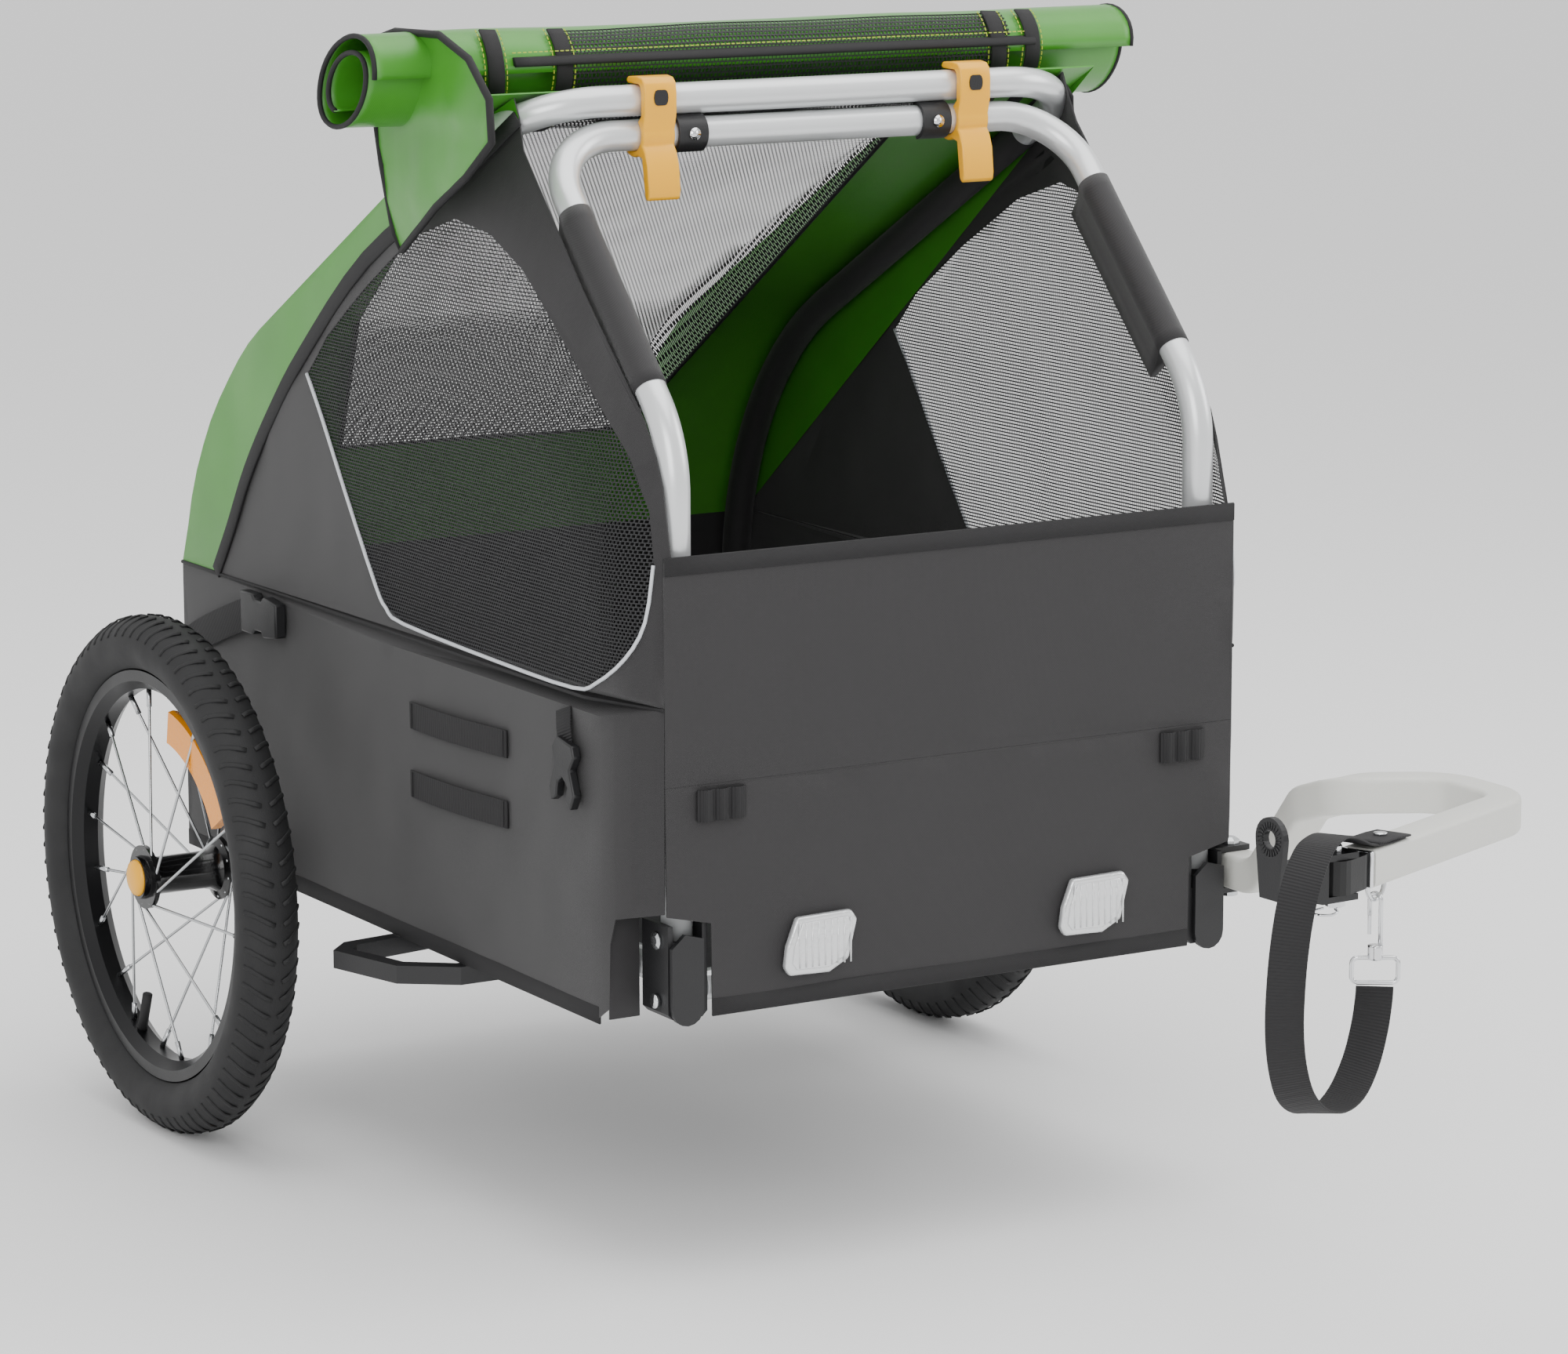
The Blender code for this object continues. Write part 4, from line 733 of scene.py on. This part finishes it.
for side, sign in SIDES:
    lower = wall("side_cloth_" + side, lower_side,
                 side_place(sign, 3.0 + sign, 0.186, SEAM, lambda y, z: wall_x(y)), [pack_black])
    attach(lower, "root")
    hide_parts("side_panel_" + side)
    sewn = []
    gusset = [(0.2332, 0.192), (0.2570, 0.192), (0.2566, 0.262), (0.2332, 0.262)]
    sewn.append(wall("corner_gusset_" + side, gusset, lambda x, z: Vector((sign * x, -0.5425, z)),
                     [pack_black]))
    for number, z in enumerate((0.362, 0.311)):
        bow = [Vector((sign * (SIDE_X + 0.0022 + 0.0035 * math.sin(math.pi * k / 12)), -0.401 + 0.0125 * k,
                       z - 0.004 * k / 12)) for k in range(13)]
        ribbon = sweep("side_webbing_%s_%d" % (side, number), bow, narrowed(strip, 0.8), webbing, wide=UP)
        sewn.append(ribbon)
        for end in (bow[0], bow[-1]):
            tack = [end + Vector((sign * 0.0012, 0.004 if end is bow[0] else -0.004, 0.0085 - 0.0017 * k))
                    for k in range(11)]
            sewn.append(stitches("side_webbing_tack", tack, binding, 0.0015, 0.0013, 0.0009))
    upper_strap = [Vector((sign * (SIDE_X + out), y, z)) for out, y, z in
                   ((0.0015, 0.134, 0.352), (0.0026, 0.110, 0.362), (0.0045, 0.070, 0.376),
                    (0.0055, 0.030, 0.389), (0.0055, 0.006, 0.395))]
    upper_strap = curved(upper_strap, 4)
    sewn.append(sweep("tension_strap_" + side, upper_strap, strip, webbing, wide=Vector((0, 0.25, 1))))
    shell = [(0.016, 0.380), (0.016, 0.412), (-0.004, 0.412), (-0.008, 0.408), (-0.020, 0.408),
             (-0.024, 0.412), (-0.046, 0.409), (-0.046, 0.383), (-0.024, 0.380), (-0.020, 0.384),
             (-0.008, 0.384), (-0.004, 0.380)]
    sewn.append(slab("tension_buckle_" + side, shell, 0, sign * (SIDE_X + 0.003), sign * (SIDE_X + 0.0125),
                     plastic, 0.0014))
    half = [(-0.488, 0.384), (-0.510, 0.380), (-0.513, 0.372), (-0.506, 0.362), (-0.513, 0.345),
            (-0.507, 0.334), (-0.500, 0.340), (-0.503, 0.350), (-0.496, 0.356), (-0.489, 0.352),
            (-0.487, 0.341), (-0.480, 0.337), (-0.477, 0.347), (-0.484, 0.364), (-0.481, 0.376)]
    sewn.append(slab("cover_buckle_" + side, half, 0, sign * (SIDE_X + 0.003), sign * (SIDE_X + 0.010),
                     plastic, 0.0012))
    tab = [Vector((sign * (SIDE_X + 0.0022), -0.486, 0.402)),
           Vector((sign * (SIDE_X + 0.0050), -0.491, 0.390)),
           Vector((sign * (SIDE_X + 0.0062), -0.496, 0.378))]
    sewn.append(sweep("cover_buckle_tab_" + side, tab, narrowed(strip, 0.7), webbing,
                      wide=Vector((0, 1, 0.3))))
    seam_line = [Vector((sign * (wall_x(y) + 0.0008), y, SEAM - 0.0012))
                 for y in (0.1465 - 0.0731 * k for k in range(11))]
    sewn.append(sweep("side_seam_" + side, seam_line, circle(0.0015, 8), binding))
    for number, (first, last) in enumerate(((0.1465, 0.0225), (-0.0225, -0.530))):
        hem_line = [Vector((sign * SIDE_X, first + (last - first) * k / 10, 0.1925)) for k in range(11)]
        sewn.append(sweep("side_hem_%s_%d" % (side, number), hem_line, tape, binding, wide=UP))
    for number, (y, z, x) in enumerate(((-0.566, 0.2075, 0.2322), (-0.3235, 0.1790, 0.2262))):
        head = [Vector((sign * (x + out), y, z)) for out in (0.0, 0.0022, 0.0030)]
        screw = sweep("frame_screw_%s_%d" % (side, number), head, circle(0.0052, 16), chrome)
        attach(screw, "root")
    for item in sewn:
        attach(item, "root")
    upper = wall("side_window_cloth_" + side, upper_side, side_place(sign, 9.0 + sign, SEAM, 0.83, upper_x),
                 [pack_black, net_black, green], [(window, 1), (green_area, 2)],
                 [(window, True), (green_line, False)])
    for face in upper.data.polygons:
        if face.material_index == 2 and face.normal.x * sign < 0:
            face.material_index = 0
    trims = []
    line = [Vector((sign * (upper_x(y, z) + 0.0012), y, z)) for y, z in window[:12]]
    trims.append(sweep("window_piping_" + side, curved(line, 3), circle(0.0014, 10), piping))
    line = [Vector((sign * (upper_x(y, z) + 0.0014), y, z)) for y, z in green_line]
    trims.append(sweep("green_edge_binding_" + side, curved(line, 4), tape, binding,
                       wide=Vector((0, 0.7, 0.7))))
    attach(upper, "root")
    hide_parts("side_window_" + side)
    for item in trims:
        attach(item, "root")
    for item in [upper] + trims:
        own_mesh(item)


# ---- front panel ----------------------------------------------------------------------------
# Black pack cloth stretched between the hoop feet with a bound top hem, webbing loops and two
# clear reflectors. The part above the fold line is a separate piece.
def front_place(x, z):
    """Where flat front cloth goes: it bows slightly and is held at the top hem."""
    slack = min(1.0, max(0.0, (0.517 - z) / 0.05))
    return Vector((x, FACE_Y + wrinkle(x, z, 21.0, 0.0007) * slack, z))


lower_front = [(-0.199, 0.197), (0.199, 0.197), (0.200, 0.262), (0.2345, 0.270), (0.2355, 0.360),
               (-0.2355, 0.360), (-0.2345, 0.270), (-0.200, 0.262)]
front_low = wall("front_cloth", lower_front, front_place, [pack_black])
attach(front_low, "root")
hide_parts("front_panel")
# Clear plastic over bright moulded prisms: silvery, with a fine glitter.
clear = finish("clear prismatic reflector", "#d9dadb", 0.14, metallic=0.55, grain=1.0, size=330.0,
               Coat_Weight=0.6)
sewn = []
for side, sign in SIDES:
    for number, shift in enumerate((-0.019, -0.0065, 0.006)):
        bow = [Vector((sign * 0.192 + shift + 0.0130 * k / 8,
                       FACE_Y - 0.0012 - 0.0032 * math.sin(math.pi * k / 8), 0.3455)) for k in range(9)]
        sewn.append(sweep("front_webbing_%s_%d" % (side, number), bow, narrowed(strip, 0.88),
                          webbing, wide=UP))
    shape = [(-0.0200, 0.0200), (0.0240, 0.0210), (0.0290, 0.0140), (0.0220, -0.0140), (0.0060, -0.0220),
             (-0.0260, -0.0210), (-0.0300, -0.0150), (-0.0280, 0.0000)]
    middle = sign * 0.1146
    outline = [(middle + x, 0.239 + z) for x, z in shape]
    shell = slab("front_reflector_" + side, outline, 1, -0.5858, -0.5920, clear, 0.0022, 3)
    outline = [(middle + x * 0.82, 0.239 + z * 0.80) for x, z in shape]
    prisms = slab("front_reflector_field_" + side, outline, 1, -0.5915, -0.5930, clear, 0.0006)
    for number in range(-4, 5):
        rib = [Vector((middle + number * 0.0052 + 0.0016, -0.5930, 0.239 + z))
               for z in (-0.0158, 0.0, 0.0158)]
        bar = sweep("front_reflector_rib_%s_%d" % (side, number + 4), rib, circle(0.0007, 6), clear)
        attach(bar, "root")
    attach(shell, "root")
    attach(prisms, "root")
    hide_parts("reflector_" + side)
hem_line = [Vector((-0.199 + 0.0398 * k, FACE_Y, 0.2025)) for k in range(11)]
sewn.append(sweep("front_bottom_hem", hem_line, tape, binding, wide=UP))
for item in sewn:
    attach(item, "root")
upper_front = [(-0.2355, 0.3602), (0.2355, 0.3602), (0.2355, 0.516), (-0.2355, 0.516)]
front_top = wall("front_cloth_top", upper_front, front_place, [pack_black])
hem = sweep("front_hem", [Vector((x * 0.0471 - 0.2355, FACE_Y, 0.5125)) for x in range(11)],
            [(a, b * 1.4) for a, b in tape], binding, wide=UP)
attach(front_top, "root")
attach(hem, "root")
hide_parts("front_panel_top")
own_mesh(front_top)
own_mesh(hem)


# ---- rear panel, floor and rear cover ---------------------------------------------------------
# Black pack cloth closes the back below the hoop's arch. Above it a green coated cover with a wide mesh
# window is stretched over the rear hoop; the floor is laminated.
def rear_place(x, z):
    """Where flat rear cloth goes."""
    return Vector((x, 0.1478 + wrinkle(x, z, 33.0, 0.0010), z))


rear_outline = [(-0.2562, 0.191), (0.2562, 0.191), (0.2562, 0.4150), (-0.2562, 0.4150)]
rear_low = wall("rear_cloth", rear_outline, rear_place, [pack_black])
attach(rear_low, "root")
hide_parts("rear_panel")
ARCH_START = 0.0512
ARCH_END = ARCH_R * ARCH_TURN
COVER_END = 0.7165


def cover_place(x, run, out=0.0130):
    """A point on the rear cover: across, and along the hoop from the start of its arch."""
    lift = out + wrinkle(x, run, 41.0, 0.0008) + 0.15 * max(0.0, 0.082 - run)
    turn = min(run / ARCH_R, ARCH_TURN)
    rest = max(run - ARCH_END, 0.0)
    return Vector((x, ARCH[0] + (ARCH_R + lift) * math.cos(turn) - rest * math.sin(turn),
                   ARCH[1] + (ARCH_R + lift) * math.sin(turn) + rest * math.cos(turn)))


cover_outline = [(-0.2560, ARCH_START), (0.2560, ARCH_START), (0.2560, COVER_END), (-0.2560, COVER_END)]
rear_window = [(-0.135, 0.140), (0.125, 0.136), (0.128, 0.690), (-0.222, 0.690), (-0.212, 0.500),
               (-0.175, 0.300)]
cover = wall("rear_cover_cloth", cover_outline, cover_place, [green, net_black], [(rear_window, 1)],
             [(rear_window, True)], thick=0.0010)
line = [cover_place(x, run, 0.0140) for x, run in rear_window + rear_window[:1]]
cover_binding = sweep("rear_window_binding", filleted(line, [0.012] * 5, 3), circle(0.0016, 6), binding)
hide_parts("rear_cover")
for item in (cover, cover_binding):
    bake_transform(item)
dress(["floor_panel"], finish("black laminated floor cloth", "#232225", 0.6, grain=0.5))


# ---- rolled-up top cover --------------------------------------------------------------------
# The green weather cover is rolled up across the top of the rear hoop: cloth wound one and a
# half turns, a mesh middle, black taped seams and a loose end hanging at the right-hand side.
normal = Vector((0, math.cos(ARCH_TURN), math.sin(ARCH_TURN)))
downhill = Vector((0, normal.z, -normal.y))
ROLL = Vector((0, *CROSS)) + downhill * 0.060 + normal * 0.0475
ROLL_DEPTH = 0.052
ROLL_HEIGHT = 0.033
roll_section = []
for step in range(61):
    turn = math.radians(-150 - 600 * step / 60)
    shrink = 1.0 - 0.50 * step / 60
    roll_section.append((turn, shrink))


def roll_point(x, turn, shrink, out=0.0):
    """A point on the wound cloth: the roll sags and puckers a little along its length."""
    puff = 1.0 + 0.05 * noise.noise(Vector((x * 9.0, turn * 0.9, 4.0)))
    return (ROLL + Vector((x, 0, 0)) + downhill * (ROLL_DEPTH * shrink * puff + out) * math.cos(turn)
            + normal * (ROLL_HEIGHT * shrink * puff + out) * math.sin(turn))


def roll_cloth(name, first, last, look, windings, out=0.0, thick=0.0010):
    """A length of the roll between two places across the trailer."""
    count = max(2, int((last - first) / 0.008))
    xs = [first + (last - first) * i / count for i in range(count + 1)]
    points = [roll_point(x, turn, shrink, out) for x in xs for turn, shrink in windings]
    width = len(windings)
    faces = [(i * width + j, i * width + j + 1, (i + 1) * width + j + 1, (i + 1) * width + j)
             for i in range(count) for j in range(width - 1)]
    flat = [(x, j * 0.004) for x in xs for j in range(width)]
    item = piece_of(name, points, faces, look, flat)
    body = item.modifiers.new("thickness", "SOLIDIFY")
    body.thickness = thick
    return settled(item)


outer_turn = [(turn, 1.0) for turn in (math.radians(-178 + 9 * k) for k in range(-3, 26))]
roll = roll_cloth("top_cover_wound", -0.333, 0.300, green, roll_section)
roll_parts = [roll_cloth("top_cover_mesh", -0.179, 0.190, net_black, outer_turn, 0.0012)]
for number, (x, lean) in enumerate(((-0.228, 0.012), (-0.181, 0.004), (0.190, 0.012), (0.216, 0.008))):
    line = [roll_point(x + lean * math.cos(turn), turn, 1.0, 0.0022) for turn, _ in outer_turn]
    roll_parts.append(sweep("top_cover_seam_%d" % number, line, tape, binding, wide=ACROSS))
    for offset in (-0.0085, 0.0085):
        line = [roll_point(x + offset + lean * math.cos(turn), turn, 1.0, 0.0017) for turn, _ in outer_turn]
        roll_parts.append(stitches("top_cover_stitches_%d_%d" % (number, offset > 0), line, thread))
for number, x in enumerate((-0.332, 0.299)):
    line = [roll_point(x, turn, shrink) for turn, shrink in roll_section]
    roll_parts.append(sweep("top_cover_end_binding_%d" % number, line, circle(0.0019, 8), binding))
hem_line = [roll_point(-0.225 + 0.435 * i / 30, math.radians(198), 1.0, 0.0030) for i in range(31)]
roll_parts.append(sweep("top_cover_hem", hem_line, circle(0.0042, 10, 0.6), binding))
hem_line = [roll_point(-0.225 + 0.435 * i / 30, math.radians(188), 1.0, 0.0032) for i in range(31)]
roll_parts.append(stitches("top_cover_hem_stitches", hem_line, thread))
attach(roll, "rear_hoop")
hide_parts("top_cover_roll")
flap_outline = [(-0.232, 0.842), (-0.300, 0.858), (-0.372, 0.860), (-0.412, 0.846), (-0.440, 0.820),
                (-0.436, 0.790), (-0.398, 0.763), (-0.345, 0.738), (-0.268, 0.700), (-0.262, 0.712),
                (-0.270, 0.762), (-0.262, 0.790), (-0.240, 0.815)]


def flap_place(y, z):
    """The loose end hangs from the roll and leans out over the side wall."""
    drop = max(0.0, 0.850 - z)
    lean = 0.018 * math.sin(min(drop / 0.15, 1.0) * math.pi) + wrinkle(y, z, 77.0, 0.004, 16.0)
    return Vector((-0.268 - 0.30 * max(0.0, z - 0.790) - lean, y, z))


flap = wall("top_cover_loose_end", flap_outline, flap_place, [green], spacing=0.008)
line = [flap_place(y, z) for y, z in flap_outline + flap_outline[:1]]
roll_parts.append(sweep("top_cover_loose_end_binding", line, circle(0.0028, 8), binding))
roll_parts.append(flap)
for item in roll_parts:
    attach(item, "rear_hoop")

# ---- leg sleeves and hoop tunnels -------------------------------------------------------------
# Black pack cloth sewn round the slanted legs of the front hoop, with its seam turned back
# towards the side wall.
leg = (Vector((0, CROSS[0], FRONT_BAR_Z)) - Vector((0, FRONT[0], ELBOW_Z))).normalized()
ahead_of_leg = ACROSS.cross(leg)
SLEEVE_R = 0.0119
sleeve_section = arc((0, 0), SLEEVE_R, 128, -128, 20) + [
    (-0.022, -0.0045), (-0.036, -0.0022), (-0.036, 0.0022), (-0.022, 0.0045)]
for side, sign in SIDES:
    base = Vector((sign * FRONT_HALF, FRONT[0], ELBOW_Z))
    stations = [base + leg * (0.046 + 0.0095 * k) for k in range(17)]
    sleeve = sweep("leg_sleeve_cloth_" + side, stations, sleeve_section, pack_black, wide=ahead_of_leg)
    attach(sleeve, "front_hoop")
    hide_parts("leg_sleeve_" + side)

# The rear cover is sewn into a tunnel of the same cloth round each side of the rear hoop.
TUNNEL_END = (-0.300, CROSS[1] - 0.083 / math.tan(ARCH_TURN))
for side, sign in SIDES:
    tunnel = [point for point in rear_path if point.x * sign > 0.2400 and point.z > 0.30 and point.y > -0.310]
    tunnel = tunnel if sign < 0 else tunnel[::-1]
    tunnel = tunnel[1:] + [Vector((tunnel[-1].x, *TUNNEL_END))]
    sleeve = sweep("rear_hoop_tunnel_" + side, tunnel, circle(SLEEVE_R, 20), pack_black)
    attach(sleeve, "rear_hoop")

# ---- tow bar and hitch ----------------------------------------------------------------------
# A powder-coated square steel bar from the left front corner round to the hitch: a rubber flex
# block, a cast ear for the bicycle's axle on a steel pin, and a D-ring with a snap hook.
# Powder coat is a warm light grey, satin and faintly pebbled.
bar_paint = finish("light grey powder-coated steel", "#cfcfc9", 0.38, grain=0.35)
bar_points = [(0.25369, -0.548, 0.2442), (0.25369, -0.604, 0.2442), (0.230, -0.690, 0.318),
              (0.226, -0.742, 0.335), (0.285, -0.775, 0.335), (0.285, -0.850, 0.335), tuple(MOUTH)]
bar_path = filleted(bar_points, [0.040, 0.040, 0.034, 0.036, 0.036], 8)
corner = 0.0040
bar_section = []
for a, b, first in ((1, -1, -90), (1, 1, 0), (-1, 1, 90), (-1, -1, 180)):
    bar_section += arc((a * (BAR_HALF - corner), b * (BAR_HALF - corner)), corner, first, first + 90, 4)
level = []
for i, here in enumerate(bar_path):
    ahead = bar_path[min(i + 1, len(bar_path) - 1)] - bar_path[max(i - 1, 0)]
    level.append(ahead.cross(Vector((0, 0, 1))).normalized())
bar = sweep("tow_bar_tube", bar_path, bar_section, bar_paint, wide=level)
bar.data.set_sharp_from_angle(angle=math.radians(50))
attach(bar, "tow_bar")
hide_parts("tow_bar")
dress(["hitch_ear", "wheel_guard_right", "wheel_guard_left", "bracket_cover_right", "bracket_cover_left"],
      plastic)
dress(["flex_connector"], finish("black flex rubber", "#0f0f10", 0.55, grain=0.3))
dress(["hitch_pin", "snap_gate"], chrome)


def placed(item, matrix):
    """Move a piece built at the open end of the bar to where it belongs."""
    item.data.transform(matrix)
    item.data.update()
    return item


ferrule = [(0.0006, -0.0122), (0.0046, -0.0122), (0.0046, 0.0122), (0.0006, 0.0122)]
cap = placed(slab("flex_ferrule", ferrule, 2, -0.0124, 0.0124, chrome, 0.0008), at_mouth)
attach(cap, "tow_bar")
RING_X = -0.0235
RING_TOP = -0.0149
WIRE = 0.0016
ring_line = [Vector((RING_X + x, 0, RING_TOP + z)) for x, z in arc((0, 0), 0.0115, 180, 360, 24)]
ring_line += [Vector((RING_X + 0.008, 0, RING_TOP)), Vector((RING_X - 0.008, 0, RING_TOP))]
ring = placed(sweep("d_ring_wire", ring_line, circle(WIRE, 12), chrome, closed=True,
                    wide=FORE_AND_AFT), at_mouth)
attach(ring, "tow_bar")
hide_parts("d_ring")
low_z = RING_TOP - 0.0115
hook_line = [Vector((RING_X, 0.0042, low_z - 0.034)), Vector((RING_X, 0.0042, low_z - 0.002))]
hook_line += [Vector((RING_X, y, z)) for y, z in arc((0, low_z), 0.0042, 0, 180, 12)]
hook_line += [Vector((RING_X, -0.0042, low_z - 0.011))]
hook = placed(sweep("snap_hook_wire", hook_line, circle(WIRE, 12), chrome), at_mouth)
barrel_z = low_z - 0.031
barrel_line = [Vector((RING_X, 0.0005, barrel_z - drop)) for drop in (0.0, 0.0012, 0.0080, 0.0095)]
barrel = placed(sweep("snap_hook_barrel", barrel_line, circle(0.0052, 20), chrome), at_mouth)
loop_z = barrel_z - 0.0085
loop_way = Vector((-math.sin(math.radians(35)), math.cos(math.radians(35)), 0))
loop_line = []
for x, z, first in ((0.0115, loop_z - 0.004, 0), (-0.0115, loop_z - 0.004, 90),
                    (-0.0115, loop_z - 0.013, 180), (0.0115, loop_z - 0.013, 270)):
    loop_line += [Vector((RING_X, 0.0005, 0)) + loop_way * a + Vector((0, 0, b))
                  for a, b in arc((x, z), 0.004, first, first + 90, 5)]
loop = placed(sweep("snap_hook_loop", loop_line, circle(WIRE, 12), chrome, closed=True,
                    wide=Vector((loop_way.y, -loop_way.x, 0))), at_mouth)
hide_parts("snap_hook")
anchor_line = [Vector((x, 0, z)) for x, z in
               ((-0.046, 0.0148), (-0.030, 0.0158), (-0.014, 0.0160), (-0.004, 0.0166))]
anchor = placed(sweep("strap_anchor_wrap", anchor_line, narrowed(strip, 1.06), webbing,
                      wide=FORE_AND_AFT), at_mouth)
screw_line = [Vector((-0.028, 0.0, z)) for z in (0.0160, 0.0178, 0.0182)]
screw = placed(sweep("strap_anchor_screw", screw_line, circle(0.0046, 20), chrome), at_mouth)
for item in (hook, barrel, loop, anchor, screw):
    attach(item, "tow_bar")
at_pin = at_mouth @ Matrix.Translation((0.030, 0, 0)) @ Matrix.Rotation(math.radians(-20), 4, "Z")
for number in range(24):
    turn = 2 * math.pi * number / 24
    spoke_way = Vector((0, math.cos(turn), math.sin(turn)))
    hub_at = Vector((0.0564, 0, 0.031))
    tooth = placed(sweep("ear_serration_%d" % number,
                         [hub_at + spoke_way * 0.0070, hub_at + spoke_way * 0.0115],
                         circle(0.0006, 6), plastic), at_pin)
    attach(tooth, "hitch_ear")
clip_line = [Vector(p) for p in ((0.030, 0.0, -0.0225), (0.034, 0.004, -0.0235), (0.041, 0.002, -0.0245),
                                 (0.046, -0.006, -0.0240), (0.040, -0.0105, -0.0235),
                                 (0.031, -0.0085, -0.0230))]
wire_clip = placed(sweep("hitch_pin_clip", curved(clip_line, 5), circle(0.0009, 8), chrome), at_mouth)
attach(wire_clip, "hitch_pin")

size = {"cad": cad_box, "visual": [list(corner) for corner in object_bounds()]}
